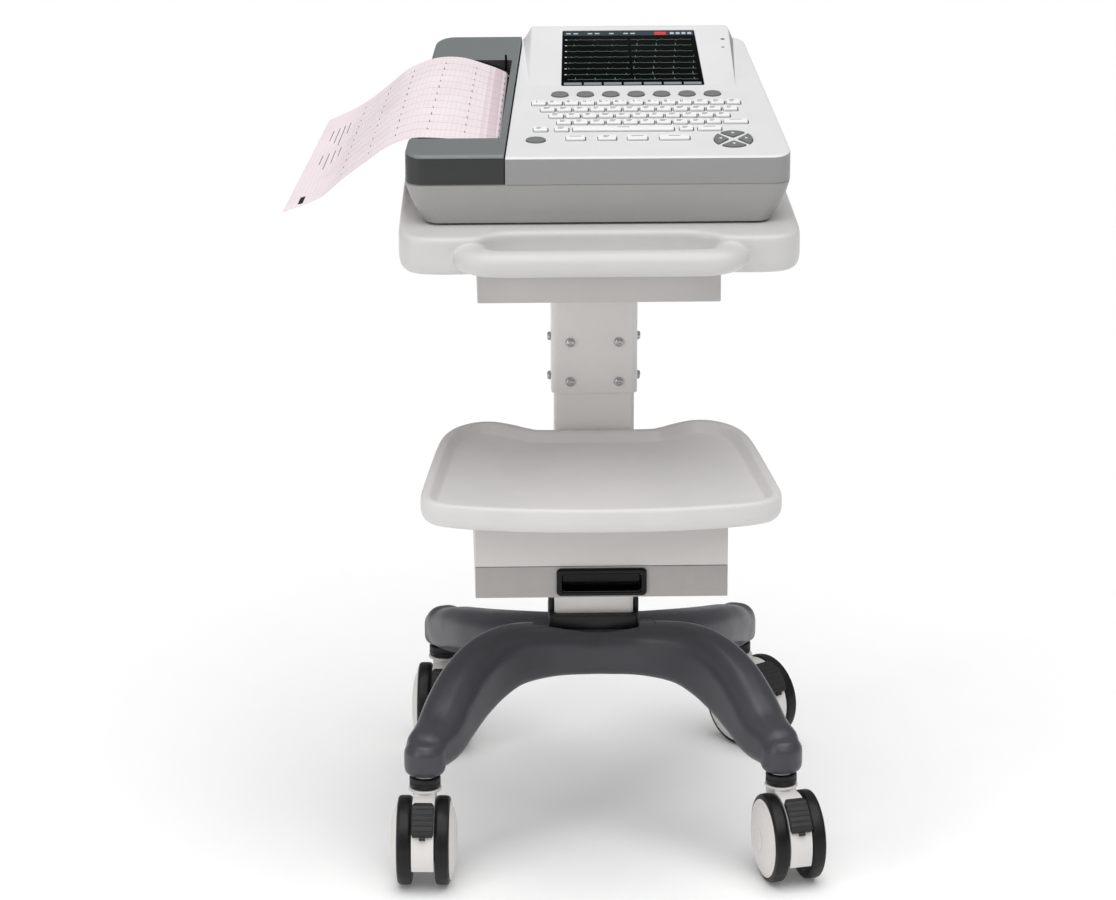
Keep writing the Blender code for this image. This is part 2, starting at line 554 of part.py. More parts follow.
shell_low = ECG_SPLIT
outer = shell_outline(0, 20, 20, 0.4)
rings = [[(x, y, shell_low) for x, y in outer], [(x, y, panel_z(y) - 3.0) for x, y in outer], [(x, y, panel_z(y)) for x, y in shell_outline(2.6, 17.5, 17.5, 0.4)]]
top_shell = new_object("top_shell", *loft(rings), (0.86, 0.86, 0.86), 0.35)
# the plateau round the display; its left and right walls lean in towards its top
plateau = rounded_polygon([(-72, SCREEN_START - 20), (158, SCREEN_START - 20), (157, ECG_BACK - 5), (-66, ECG_BACK - 5)], [2, 2, 7, 3], 3)


def plateau_foot(x, y):
    lean = max(0.0, screen_z(y) - panel_z(y) + 1.0)
    return (x - 0.6 * lean if x < 0 else x + 0.4 * lean, y)


foot = [plateau_foot(x, y) for x, y in plateau]
boolean(top_shell, tool("screen_plateau", *loft([[(x, y, panel_z(y) - 1.0) for x, y in foot], [(x, y, screen_z(y)) for x, y in plateau]])), "UNION")
inner = shell_outline(SHELL, 17, 17, SHELL)
boolean(top_shell, tool("shell_hollow", *prism(inner, shell_low - 20, lambda x, y: panel_z(y) - SHELL)))

SCREEN = rounded_polygon([(-36, SCREEN_START - 4.5 + 4), (124, SCREEN_START - 0.5), (118, 150), (-31, 150)], 1.5, 2)
KEYPAD = rounded_polygon([(-38, -127), (103, -127), (103, -102), (139, -102), (139, -83.5), (169, -83.5), (169, -12.5), (-73, -12.5), (-73, -102), (-38, -102)], 2.5, 2)


def oval(x, y, w, h, n=14):
    return [(x + w / 2 * math.cos(2 * math.pi * k / n), y + h / 2 * math.sin(2 * math.pi * k / n)) for k in range(n)]


def sector(quarter, r_gap=0.0):
    """One arrow key: a quarter of a disc with rounded corners, pointing right, up, left or down."""
    a = math.radians(90 * quarter)
    inner_r, spread = 5.2 - r_gap, math.radians(38.5 + 1.2 * r_gap)
    r = ARROW_R + r_gap
    pts = [(inner_r, 0.0)]
    corner = []
    for k in range(7):
        ang = -spread + 2 * spread * k / 6
        corner.append((r * math.cos(ang), r * math.sin(ang)))
    pts += corner
    return [(ARROW_XY[0] + px * math.cos(a) - py * math.sin(a), ARROW_XY[1] + px * math.sin(a) + py * math.cos(a)) for px, py in pts]


windows = [panel_prism(KEYPAD, -12, 12)]
windows += [panel_prism(oval(x, SOFT_KEYS_Y, 19.4, 14.4), -12, 12) for x in SOFT_KEYS_X]
windows += [panel_prism(oval(*POWER_XY, 22.0, 15.0), -12, 12)]
windows += [panel_prism(sector(q, 0.55), -12, 12) for q in range(4)]
boolean(top_shell, tool("key_windows", *merge(*windows)))
screen_cut = panel_prism(SCREEN, -30, 12, SCREEN_SLOPE, screen_z)
boolean(top_shell, tool("screen_window", *screen_cut))

screen_small = inset(SCREEN, GAP)
new_object("lcd_module", *panel_prism(screen_small, -12, -1.2, SCREEN_SLOPE, screen_z), (0.01, 0.012, 0.012), 0.15)


def key_body(outline, crown):
    """A key cap with a low crown, standing on a straight skirt."""
    cx, cy = np.mean([q[0] for q in outline]), np.mean([q[1] for q in outline])
    top = [(cx + (x - cx) * 0.8, cy + (y - cy) * 0.8) for x, y in outline]
    return loft([[panel_point(x, y, -SHELL - 2) for x, y in outline], [panel_point(x, y, crown * 0.45) for x, y in outline], [panel_point(x, y, crown) for x, y in top]])


for i, x in enumerate(SOFT_KEYS_X):
    new_object("soft_key_%d" % (i + 1), *key_body(oval(x, SOFT_KEYS_Y, 18.6, 13.6), KEY_PROUD + 0.6), (0.22, 0.22, 0.22), 0.5)
new_object("power_key", *key_body(oval(*POWER_XY, 21.2, 14.2), KEY_PROUD + 0.6), (0.25, 0.25, 0.25), 0.5)
for q, name in enumerate(("right", "up", "left", "down")):
    new_object("arrow_key_" + name, *key_body(sector(q), KEY_PROUD + 0.4), (0.22, 0.22, 0.22), 0.5)

# alphanumeric keys: one moulded rubber mat with every key standing on it
KEY_ROWS = [  # y of the row, then (start, end) of each key along x
    (-21.0, [(-70 + 17.95 * i, -70 + 17.95 * i + 15.4) for i in range(13)]),
    (-38.5, [(-61 + 18.35 * i, -61 + 18.35 * i + 15.8) for i in range(12)]),
    (-56.0, [(-52 + 18.35 * i, -52 + 18.35 * i + 15.8) for i in range(11)]),
    (-73.5, [(-44 + 18.3 * i, -44 + 18.3 * i + 15.8) for i in range(10)] + [(139.5, 166)]),
    (-92.0, [(-70, -54.5), (-47, -31.5), (-27, 84), (90, 105), (110, 136)]),
    (-116.0, [(-35, -14), (0, 20), (32, 54), (67, 100)]),
]
mat_low, mat_top = -SHELL - 1.6, -0.2
keypad = new_object("alphanumeric_keypad", *panel_prism(inset(KEYPAD, 0.5), mat_low, mat_top), (0.8, 0.8, 0.8), 0.5)
caps = [panel_prism([(a, y - 5.8), (b, y - 5.8), (b, y + 5.8), (a, y + 5.8)], mat_top - 0.8, KEY_PROUD) for y, row in KEY_ROWS for a, b in row]
boolean(keypad, tool("key_caps", *merge(*caps)), "UNION")

# recorder casing: slides off to the left; its top is a shallow pocket that the paper runs out of
def casing_outline(d, r0, r1, seam_gap, extra=0.0):
    y0, y1 = ECG_FRONT + d, ECG_BACK - d
    return rounded_polygon([(left_x(y0) + d, y0), (seam_x(y0) - seam_gap, y0), (seam_x(y1) - seam_gap, y1), (left_x(y1) + d, y1)], [r0, 1.5, 1.5, r1], 4)


casing_up = 2.6
outer = casing_outline(0, 20, 24, 0.4)
rings = [[(x, y, shell_low) for x, y in outer], [(x, y, panel_z(y) + casing_up - 4) for x, y in outer], [(x, y, panel_z(y) + casing_up) for x, y in casing_outline(3.2, 17, 21, 0.4)]]
casing = new_object("recorder_casing", *loft(rings), (0.11, 0.12, 0.12), 0.35)
POCKET_Y = (-119.0, 97.0)
POCKET_DEPTH = 17.0             # below the level of the panel
pocket = rounded_polygon([(left_x(POCKET_Y[0]) + 7, POCKET_Y[0]), (seam_x(POCKET_Y[0]) - 8, POCKET_Y[0]), (seam_x(POCKET_Y[1]) - 8, POCKET_Y[1]), (left_x(POCKET_Y[1]) + 7, POCKET_Y[1])], 3, 2)
boolean(casing, tool("casing_pocket", *prism(pocket, lambda x, y: panel_z(y) - POCKET_DEPTH, lambda x, y: panel_z(y) + 30)))
# the pocket runs out at the left side, past a rounded tongue at the front
mouth = [(-250, POCKET_Y[1] - 1), (-250, -143), (-216, -143), (-211, -130), (-203, -121.5), (-192, POCKET_Y[0] + 1), (-170, POCKET_Y[0] + 1), (-170, POCKET_Y[1] - 1)]
boolean(casing, tool("casing_left_mouth", *prism(mouth, lambda x, y: panel_z(y) - 12, lambda x, y: panel_z(y) + 30)))
boolean(casing, tool("casing_hollow", *prism(casing_outline(SHELL + 0.5, 16, 20, SHELL), shell_low - 20, lambda x, y: panel_z(y) - POCKET_DEPTH - 2.6)))
slot = [(seam_x(y) - dx, y) for y, dx in ((POCKET_Y[0] + 2, 22), (POCKET_Y[0] + 2, 10), (POCKET_Y[1] - 2, 10), (POCKET_Y[1] - 2, 22))]
boolean(casing, tool("casing_paper_slot", *prism(slot, lambda x, y: panel_z(y) - POCKET_DEPTH - 9, lambda x, y: panel_z(y) - POCKET_DEPTH + 9)))

# platen roller under the slot, print head facing it, folded paper, main board
ROLLER_X, ROLLER_Z, ROLLER_R = -114.0, 795.7, 6.0
roller = revolve([(0, -104), (2.5, -104), (2.5, -100), (ROLLER_R, -100), (ROLLER_R, 86), (2.5, 86), (2.5, 90), (0, 90)], 20, "y")
new_object("platen_roller", *roller, (0.03, 0.03, 0.03), 0.7, place=(ROLLER_X, 0, ROLLER_Z))
new_object("print_head", *block(-123, -106, -104, 90, 782.5, 788.8), (0.45, 0.45, 0.47), 0.3, 1.0)
new_object("paper_stack", *block(-158, -60, -116, 94, 756, 780), (0.85, 0.72, 0.74), 0.8)
board = new_object("main_board", *block(-44, 162, -140, 132, 770, 771.8), (0.02, 0.16, 0.07), 0.5)
chips = [block(-20, 20, -60, -20, 771, 775), block(60, 110, 20, 60, 771, 779), block(-30, 10, 60, 120, 771, 785), block(120, 160, -110, -60, 771, 777)]
boolean(board, tool("board_components", *merge(*chips)), "UNION")

# ---------------------------------------------------------------- printed strip
# Edge lines of the strip, from the slot over the casing and down past the left side.
PAPER_REAR = [(-97, 92, 849), (-122, 93, 859), (-148, 94, 866), (-176, 94, 865), (-204, 94, 854), (-224, 94, 838), (-246, 95, 820), (-268, 96, 806), (-296, 97, 793)]
PAPER_FRONT = [(-110, -117, 821), (-140, -117.5, 825.5), (-172, -118, 829.5), (-205, -118, 829.5), (-230, -118, 820), (-254, -118, 803), (-278, -118, 785), (-306, -118, 762), (-345, -118, 747)]
PAPER_T = 0.9


def paper_shape(steps, across):
    rear, front = smooth_curve(PAPER_REAR, steps), smooth_curve(PAPER_FRONT, steps)
    grid = [[r + (f - r) * k / across for k in range(across + 1)] for r, f in zip(rear, front)]
    rings = []
    for i, row in enumerate(grid):
        nxt, prev = grid[min(i + 1, len(grid) - 1)], grid[max(i - 1, 0)]
        up, down = [], []
        for k, q in enumerate(row):
            along = nxt[k] - prev[k]
            cross = row[min(k + 1, across)] - row[max(k - 1, 0)]
            n = np.cross(cross, along)
            n /= np.linalg.norm(n)
            if n[2] < 0:
                n = -n
            up.append(q + n * PAPER_T / 2)
            down.append(q - n * PAPER_T / 2)
        rings.append(up + down[::-1])
    return loft(rings)


new_object("paper_printout", *paper_shape(2, 3), (0.86, 0.78, 0.8), 0.75)
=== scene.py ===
"""Twelve-lead ECG machine on its trolley: the detailed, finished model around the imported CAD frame."""
import math

import bmesh
import bpy
import numpy as np
from mathutils import Matrix, Vector
from mathutils.geometry import delaunay_2d_cdt


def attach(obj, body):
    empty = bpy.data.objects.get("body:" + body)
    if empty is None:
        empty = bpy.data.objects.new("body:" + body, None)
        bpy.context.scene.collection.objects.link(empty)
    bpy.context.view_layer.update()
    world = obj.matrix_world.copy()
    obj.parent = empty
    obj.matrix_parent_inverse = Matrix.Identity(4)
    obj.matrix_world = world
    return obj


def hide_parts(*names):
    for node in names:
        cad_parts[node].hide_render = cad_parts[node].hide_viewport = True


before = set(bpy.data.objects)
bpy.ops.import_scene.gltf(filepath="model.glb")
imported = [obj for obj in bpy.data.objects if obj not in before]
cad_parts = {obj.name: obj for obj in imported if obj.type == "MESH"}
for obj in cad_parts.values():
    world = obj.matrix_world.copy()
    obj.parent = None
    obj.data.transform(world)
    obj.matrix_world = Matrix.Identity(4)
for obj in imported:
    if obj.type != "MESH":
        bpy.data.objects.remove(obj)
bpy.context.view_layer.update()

MM = 0.001
scene = bpy.context.scene

# ---------------------------------------------------------------- dimensions, as in the CAD model (millimetres)
BASE_X = 4.5
CASTERS = {
    "front_left": (BASE_X - 199.0, -200.0, -3.0),
    "front_right": (BASE_X + 199.5, -200.0, 14.0),
    "rear_left": (BASE_X - 174.5, 217.0, -3.0),
    "rear_right": (BASE_X + 173.5, 217.0, 38.0),
}
WHEEL_R, WHEEL_IN, WHEEL_OUT, HUB_CAP_OUT, TRAIL = 50.0, 13.3, 29.3, 37.0, 29.0
FENDER_R, WEB_HALF, PEDAL_IN, PEDAL_OUT, PEDAL_LOW, PEDAL_HIGH = 49.5, 12.5, 50.3, 56.0, 25.0, 73.0
COLLAR_R, COLLAR_LOW, COLLAR_HIGH, STEM_R, LEG_BOTTOM = 17.5, 103.2, 116.0, 6.0, 118.6
FRONT_LEG = [
    (0, -24.4, 198, 48, 55), (50, -31, 201, 50, 60), (95, -49, 202, 54, 69),
    (125, -71, 194.5, 56, 75), (149.5, -99, 179.5, 57, 75), (168, -130, 161.5, 57, 69),
    (181.5, -160, 147, 56, 59), (194.5, -187, 142.5, 50, 49.5),
]
REAR_LEG = [
    (0, 24.4, 197, 48, 50), (50, 33, 195, 50, 50), (95, 62, 186, 52, 52),
    (130, 108, 171, 52, 54), (153, 156, 156, 50, 54), (167, 193, 144, 48, 50),
    (172, 208, 142, 47, 49),
]
LEG_END_R, HUB_TOP = 23.4, 224.0
TUBE_W, TUBE_D, TUBE_R, TUBE_WALL, TUBE_LOW, TUBE_HIGH = 90.0, 40.0, 5.0, 3.0, 229.0, 640.0
SLEEVE_W, SLEEVE_D, SLEEVE_WALL, SLEEVE_LOW, SLEEVE_HIGH = 96.8, 46.8, 3.0, 505.6, 654.6
SCREW_X, SCREW_Z = 27.3, (519.3, 565.7)
SOCKET_W, SOCKET_D, SOCKET_LOW, SOCKET_HIGH, SOCKET_TAB = 103.0, 60.0, 224.4, 241.0, 256.0
TRAY_TOP, TRAY_LOW, TRAY_DISH = 463.0, 433.0, 11.0
DRAWER_W, DRAWER_FRONT, DRAWER_BACK, DRAWER_LOW, DRAWER_SPLIT = 275.4, -262.0, -24.0, 348.4, 384.4
PULL_W, PULL_LOW, PULL_HIGH = 98.5, 350.6, 382.2
BRACKET_W, BRACKET_FRONT, BRACKET_BACK, BRACKET_LOW, BRACKET_HIGH = 266.0, -165.0, 70.0, 655.0, 698.4
BOARD_LOW, BOARD_TOP = 698.8, 743.0
HANDLE_R, HANDLE_Y, HANDLE_Z = 14.7, -236.0, 720.5
ECG_FRONT, ECG_BACK = -166.0, 165.0
ECG_LEFT_FRONT, ECG_LEFT_BACK, ECG_RIGHT_FRONT, ECG_RIGHT_BACK = 213.0, 173.0, 210.5, 174.0
ECG_LOW, ECG_SPLIT, ECG_TOP_FRONT = 747.0, 789.4, 819.7
PANEL_SLOPE, SCREEN_SLOPE, SCREEN_START = math.radians(8.7), math.radians(15.05), 28.0
SEAM_FRONT, SEAM_BACK = -103.0, -76.0
SHELL = 3.0
SOFT_KEYS_X = [-38.2 + 28.25 * i for i in range(7)]
SOFT_KEYS_Y = 2.5
POWER_XY = (-67.9, -120.5)
ARROW_XY, ARROW_R = (147.6, -121.5), 21.0
KEY_ROWS = [
    (-21.0, [(-70 + 17.95 * i, -70 + 17.95 * i + 15.4) for i in range(13)]),
    (-38.5, [(-61 + 18.35 * i, -61 + 18.35 * i + 15.8) for i in range(12)]),
    (-56.0, [(-52 + 18.35 * i, -52 + 18.35 * i + 15.8) for i in range(11)]),
    (-73.5, [(-44 + 18.3 * i, -44 + 18.3 * i + 15.8) for i in range(10)] + [(139.5, 166)]),
    (-92.0, [(-70, -54.5), (-47, -31.5), (-27, 84), (90, 105), (110, 136)]),
    (-116.0, [(-35, -14), (0, 20), (32, 54), (67, 100)]),
]
KEY_HALF = 5.6
POCKET_Y = (-119.0, 97.0)
CASING_UP = 2.6
PAPER_REAR = [(-97, 92, 849), (-122, 93, 859), (-148, 94, 866), (-176, 94, 865), (-204, 94, 854), (-224, 94, 838), (-246, 95, 820), (-268, 96, 806), (-296, 97, 793)]
PAPER_FRONT = [(-110, -117, 821), (-140, -117.5, 825.5), (-172, -118, 829.5), (-205, -118, 829.5), (-230, -118, 820), (-254, -118, 803), (-278, -118, 785), (-306, -118, 762), (-345, -118, 747)]
TRAY_HALF = [
    (0, -304), (70, -301), (130, -293), (169, -283), (190, -269), (197, -246), (193.5, -205), (186, -140),
    (178.5, -80), (171, -40), (157, -10), (135, 8), (112, 10), (90, -2), (72, -16), (52, -21.5),
]
BOARD_HALF = [
    (0, -188.5), (60, -188.5), (98, -190), (117, -198), (131, -208), (150, -212), (178, -212), (201, -207), (214, -193), (218, -168),
    (217, -110), (214, -20), (210, 80), (203, 138), (188, 158), (160, 165), (80, 166),
]

# ---------------------------------------------------------------- camera, floor and light
cam_data = bpy.data.cameras.new("camera")
cam = bpy.data.objects.new("camera", cam_data)
scene.collection.objects.link(cam)
scene.camera = cam
cam_data.sensor_width = 36.0
cam_data.lens = 170.5205
cam_data.clip_start, cam_data.clip_end = 0.1, 60.0
right = Vector((0.99961325, -0.02780909, 0.0))
up = Vector((0.00882395, 0.31718194, 0.94832366))
back = right.cross(up)
cam.matrix_world = Matrix((
    (right.x, up.x, back.x, -0.19857611),
    (right.y, up.y, back.y, -5.68647577),
    (right.z, up.z, back.z, 2.33396762),
    (0, 0, 0, 1)))


def flat_plane(name, size, z=0.0):
    mesh = bpy.data.meshes.new(name)
    s = size / 2
    mesh.from_pydata([(-s, -s, z), (s, -s, z), (s, s, z), (-s, s, z)], [], [(0, 1, 2, 3)])
    obj = bpy.data.objects.new(name, mesh)
    scene.collection.objects.link(obj)
    return obj


floor = flat_plane("studio_floor", 40.0, -0.0002)


def area_light(name, place, aim, size, power, size_y=None, tint=(1, 1, 1)):
    data = bpy.data.lights.new(name, "AREA")
    data.energy = power
    data.color = tint
    data.size = size
    if size_y:
        data.shape, data.size_y = "RECTANGLE", size_y
    obj = bpy.data.objects.new(name, data)
    scene.collection.objects.link(obj)
    obj.location = place
    obj.rotation_mode = "QUATERNION"
    obj.rotation_quaternion = (Vector(aim) - Vector(place)).to_track_quat("-Z", "Y")
    return obj


sun_data = bpy.data.lights.new("overhead_sky", "SUN")
sun_data.energy, sun_data.angle = 2.42, math.radians(68)
sun = bpy.data.objects.new("overhead_sky", sun_data)
scene.collection.objects.link(sun)
sun.rotation_euler = (math.radians(17), math.radians(4), 0)
area_light("left_strip", (-2.4, -2.2, 1.5), (0, 0, 0.5), 0.7, 16, 1.6)
world = bpy.data.worlds.new("studio")
scene.world = world
world.use_nodes = True
world.node_tree.nodes["Background"].inputs["Color"].default_value = (1.0, 1.0, 1.0, 1.0)
world.node_tree.nodes["Background"].inputs["Strength"].default_value = 0.26
scene.view_settings.view_transform = "Standard"
scene.view_settings.look = "None"


# ---------------------------------------------------------------- materials
def srgb(code):
    out = []
    for i in (1, 3, 5):
        c = int(code[i:i + 2], 16) / 255
        out.append(c / 12.92 if c <= 0.04045 else ((c + 0.055) / 1.055) ** 2.4)
    return tuple(out)


class Nodes:
    """A small wrapper for building a material's nodes."""

    def __init__(self, name):
        self.mat = bpy.data.materials.new(name)
        self.mat.use_nodes = True
        self.tree = self.mat.node_tree
        self.bsdf = self.tree.nodes["Principled BSDF"]
        self.coord = None

    def add(self, kind, **settings):
        node = self.tree.nodes.new(kind)
        for key, value in settings.items():
            if key in node.inputs.keys() if hasattr(node.inputs, "keys") else False:
                node.inputs[key].default_value = value
            else:
                setattr(node, key, value)
        return node

    def link(self, a, b):
        self.tree.links.new(a, b)

    def object_space(self):
        if self.coord is None:
            self.coord = self.tree.nodes.new("ShaderNodeTexCoord")
        return self.coord.outputs["Object"]

    def noise(self, scale, detail=3.0, rough=0.55, stretch=None):
        node = self.tree.nodes.new("ShaderNodeTexNoise")
        node.inputs["Scale"].default_value = scale
        node.inputs["Detail"].default_value = detail
        node.inputs["Roughness"].default_value = rough
        source = self.object_space()
        if stretch:
            mapping = self.tree.nodes.new("ShaderNodeMapping")
            mapping.inputs["Scale"].default_value = stretch
            self.link(source, mapping.inputs["Vector"])
            source = mapping.outputs["Vector"]
        self.link(source, node.inputs["Vector"])
        return node.outputs["Fac"]

    def spread(self, value, low, high, a=0.3, b=0.7):
        node = self.tree.nodes.new("ShaderNodeMapRange")
        node.inputs["From Min"].default_value = a
        node.inputs["From Max"].default_value = b
        node.inputs["To Min"].default_value = low
        node.inputs["To Max"].default_value = high
        self.link(value, node.inputs["Value"])
        return node.outputs["Result"]

    def mix(self, fac, a, b):
        node = self.tree.nodes.new("ShaderNodeMix")
        node.data_type = "RGBA"
        for socket, value in ((node.inputs[6], a), (node.inputs[7], b)):
            if isinstance(value, tuple):
                socket.default_value = (*value[:3], 1.0)
            else:
                self.link(value, socket)
        if isinstance(fac, (int, float)):
            node.inputs[0].default_value = fac
        else:
            self.link(fac, node.inputs[0])
        return node.outputs[2]

    def math(self, op, a, b=None):
        node = self.tree.nodes.new("ShaderNodeMath")
        node.operation = op
        for i, value in enumerate((a, b)):
            if value is None:
                continue
            if isinstance(value, (int, float)):
                node.inputs[i].default_value = value
            else:
                self.link(value, node.inputs[i])
        return node.outputs[0]

    def bump(self, height, strength, distance=0.0002, normal=None):
        node = self.tree.nodes.new("ShaderNodeBump")
        node.inputs["Strength"].default_value = strength
        node.inputs["Distance"].default_value = distance
        self.link(height, node.inputs["Height"])
        if normal is not None:
            self.link(normal, node.inputs["Normal"])
        return node.outputs["Normal"]

    def edges(self, low=0.51, high=0.57):
        """Where the surface is convex, as at a moulded edge."""
        geometry = self.tree.nodes.new("ShaderNodeNewGeometry")
        return self.spread(geometry.outputs["Pointiness"], 0.0, 1.0, low, high)


def plastic(name, color, rough=0.42, grain=0.12, grain_scale=1400, mottle=0.035, coat=0.0, worn=0.0, specular=0.5, dirt=0.0):
    """Moulded plastic: spark-eroded grain, faint flow mottling, rub marks and paler edges."""
    n = Nodes(name)
    dark = tuple(c * (1 - mottle * 2) for c in color)
    light = tuple(min(1, c * (1 + mottle) + mottle * 0.01) for c in color)
    base = n.mix(n.spread(n.noise(14, 4), 0, 1), dark, light)
    if worn:
        base = n.mix(n.math("MULTIPLY", n.edges(), n.spread(n.noise(90, 3), 0.2, worn)), base, tuple(min(1, c * 1.7 + 0.03) for c in color))
    if dirt:
        base = n.mix(n.spread(n.noise(46, 5, 0.65), 0, dirt, 0.5, 0.8), base, tuple(c * 0.72 for c in color))
    n.link(base, n.bsdf.inputs["Base Color"])
    smear = n.noise(38, 4, 0.6, (1, 1, 2.2))
    n.link(n.spread(smear, rough - 0.05, rough + 0.07), n.bsdf.inputs["Roughness"])
    if grain:
        n.link(n.bump(n.noise(grain_scale, 2.5), grain, 0.00012), n.bsdf.inputs["Normal"])
    n.bsdf.inputs["Coat Weight"].default_value = coat
    n.bsdf.inputs["Coat Roughness"].default_value = 0.08
    n.bsdf.inputs["Specular IOR Level"].default_value = specular
    return n.mat


def paint(name, color, rough=0.38, orange=0.22, scale=700, mottle=0.03, metal=0.0, worn=0.25, fleck=0.0):
    """Powder coat: orange peel, fine fleck and edges rubbed a little brighter."""
    n = Nodes(name)
    base = n.mix(n.spread(n.noise(9, 3), 0, 1), tuple(c * (1 - mottle * 2) for c in color), tuple(min(1, c * (1 + mottle)) for c in color))
    if fleck:
        base = n.mix(n.spread(n.noise(2600, 1.5), 0, fleck, 0.55, 0.7), base, tuple(min(1, c * 2.2 + 0.05) for c in color))
    base = n.mix(n.math("MULTIPLY", n.edges(0.52, 0.6), n.spread(n.noise(70, 4), 0.1, worn)), base, tuple(min(1, c * 1.35 + 0.04) for c in color))
    n.link(base, n.bsdf.inputs["Base Color"])
    n.link(n.spread(n.noise(30, 4), rough - 0.04, rough + 0.06), n.bsdf.inputs["Roughness"])
    fine = n.bump(n.noise(scale, 2), orange, 0.0002)
    n.link(fine, n.bsdf.inputs["Normal"])
    n.bsdf.inputs["Metallic"].default_value = metal
    return n.mat


def steel(name, color=(0.55, 0.55, 0.56), rough=0.26, brushed=(40, 1, 1)):
    n = Nodes(name)
    streak = n.noise(260, 3, 0.6, brushed)
    n.link(n.mix(n.spread(streak, 0, 1), tuple(c * 0.85 for c in color), color), n.bsdf.inputs["Base Color"])
    n.link(n.spread(streak, rough - 0.06, rough + 0.12), n.bsdf.inputs["Roughness"])
    n.link(n.bump(streak, 0.15, 0.0001), n.bsdf.inputs["Normal"])
    n.bsdf.inputs["Metallic"].default_value = 1.0
    return n.mat


def rubber(name, color, rough=0.62, scale=900, dust=0.12):
    n = Nodes(name)
    n.bsdf.inputs["Specular IOR Level"].default_value = 0.3
    dusty = n.spread(n.noise(60, 5, 0.65), 0, dust, 0.42, 0.75)
    n.link(n.mix(dusty, color, tuple(min(1, c * 1.6 + 0.05) for c in color)), n.bsdf.inputs["Base Color"])
    n.link(n.spread(n.noise(80, 4), rough - 0.08, rough + 0.08), n.bsdf.inputs["Roughness"])
    n.link(n.bump(n.noise(scale, 3), 0.25, 0.0002), n.bsdf.inputs["Normal"])
    return n.mat


floor_pale = plastic("floor_pale", (0.93, 0.93, 0.93), 0.7, 0.0, 900, 0.004, specular=0.2)
floor_pale.node_tree.nodes["Principled BSDF"].inputs["Emission Color"].default_value = (1, 1, 1, 1)
floor_pale.node_tree.nodes["Principled BSDF"].inputs["Emission Strength"].default_value = 0.10
floor.data.materials.append(floor_pale)
M = {
    "shell": plastic("white_abs", srgb("#e6e6e7"), 0.42, 0.10, 1500, 0.012, coat=0.05, dirt=0.04),
    # the top shell's white plastic in a darker grey for its upright walls: painted shade, not a second finish
    "shell_painted_side_shade": plastic("white_abs_painted_side_shade", srgb("#989797"), 0.42, 0.10, 1500, 0.012, dirt=0.05),
    # the lower case's white plastic given a mid grey: painted shade for its upright walls
    "case": plastic("case_white", srgb("#a1a09e"), 0.44, 0.14, 1300, 0.015, dirt=0.06),
    "board": plastic("board_white", srgb("#d0cfce"), 0.38, 0.10, 1100, 0.012, dirt=0.05),
    "tray": plastic("tray_white", srgb("#d9d7d6"), 0.40, 0.10, 1100, 0.014, dirt=0.06),
    "casing": plastic("casing_grey", srgb("#757a7b"), 0.40, 0.05, 1900, 0.01, coat=0.06),
    # the same casing grey, darkened for its upright walls: painted shade
    "casing_side_painted_shade": plastic("casing_grey_painted_side_shade", srgb("#232425"), 0.34, 0.02, 1900, 0.01, coat=0.12),
    "pocket": plastic("casing_inside", srgb("#1d1e1f"), 0.5, 0.1, 1500, 0.03),
    "key_white": rubber("key_white", srgb("#f2f2f2"), 0.5, 1600, 0.02),
    "key_grey": rubber("key_grey", srgb("#78797a"), 0.5, 1600, 0.08),
    "column": paint("column_paint", srgb("#ece8e5"), 0.36, 0.16, 800, 0.012, worn=0.2, fleck=0.06),
    "bracket": paint("bracket_paint", srgb("#bfbbb8"), 0.36, 0.16, 800, 0.012, worn=0.2, fleck=0.06),
    # the drawer's own paint, darker for the drawer front: painted shade
    "drawer_front": paint("drawer_paint_darker_painted_shade", srgb("#9d9997"), 0.38, 0.16, 800, 0.012, worn=0.2, fleck=0.06),
    "drawer": paint("drawer_paint", srgb("#c8c4c2"), 0.38, 0.16, 800, 0.012, worn=0.2, fleck=0.06),
    "base": paint("base_slate", srgb("#3f3f45"), 0.36, 0.32, 1100, 0.03, worn=0.3, fleck=0.12),
    "steel": steel("plated_steel"),
    "black": plastic("black_plastic", srgb("#1b1b1d"), 0.46, 0.2, 1200, 0.05, worn=0.25, specular=0.35),
    "pull": plastic("black_gloss", srgb("#030303"), 0.18, 0.02, 1200, 0.0, coat=0.05, specular=0.2),
    "caster_white": plastic("caster_white", srgb("#e2dfdc"), 0.42, 0.1, 1300, 0.02, dirt=0.12),
    "tyre": rubber("tyre_black", srgb("#0d0d0e"), 0.42, 1000, 0.10),
    # legend ink, also used for the painted shade in the key gaps
    "legend": plastic("print_ink_and_gap_shade", srgb("#4a4b4d"), 0.6, 0.0, 1000, 0.02),
}


# ---------------------------------------------------------------- mesh helpers
def finish_mesh(obj, sharp=40):
    obj.data.shade_smooth()
    obj.data.set_sharp_from_angle(angle=math.radians(sharp))


def piece(name, shape, mat, body, replaces=(), at=None, sharp=40, recalc=True):
    """A finished piece from points in millimetres, riding on a CAD body. `at` is a 4x4 matrix in metres."""
    verts, faces = shape
    mesh = bpy.data.meshes.new(name)
    mesh.from_pydata([(x * MM, y * MM, z * MM) for x, y, z in verts], [], [tuple(f) for f in faces])
    if recalc:
        bm = bmesh.new()
        bm.from_mesh(mesh)
        bmesh.ops.recalc_face_normals(bm, faces=bm.faces)
        bm.to_mesh(mesh)
        bm.free()
    if at is not None:
        mesh.transform(at)
    obj = bpy.data.objects.new(name, mesh)
    scene.collection.objects.link(obj)
    finish_mesh(obj, sharp)
    mesh.materials.append(mat)
    if body:
        settle(obj, body, replaces)
    return obj


def settle(obj, body, replaces=()):
    if replaces:
        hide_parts(*([replaces] if isinstance(replaces, str) else replaces))
    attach(obj, body)
    return obj


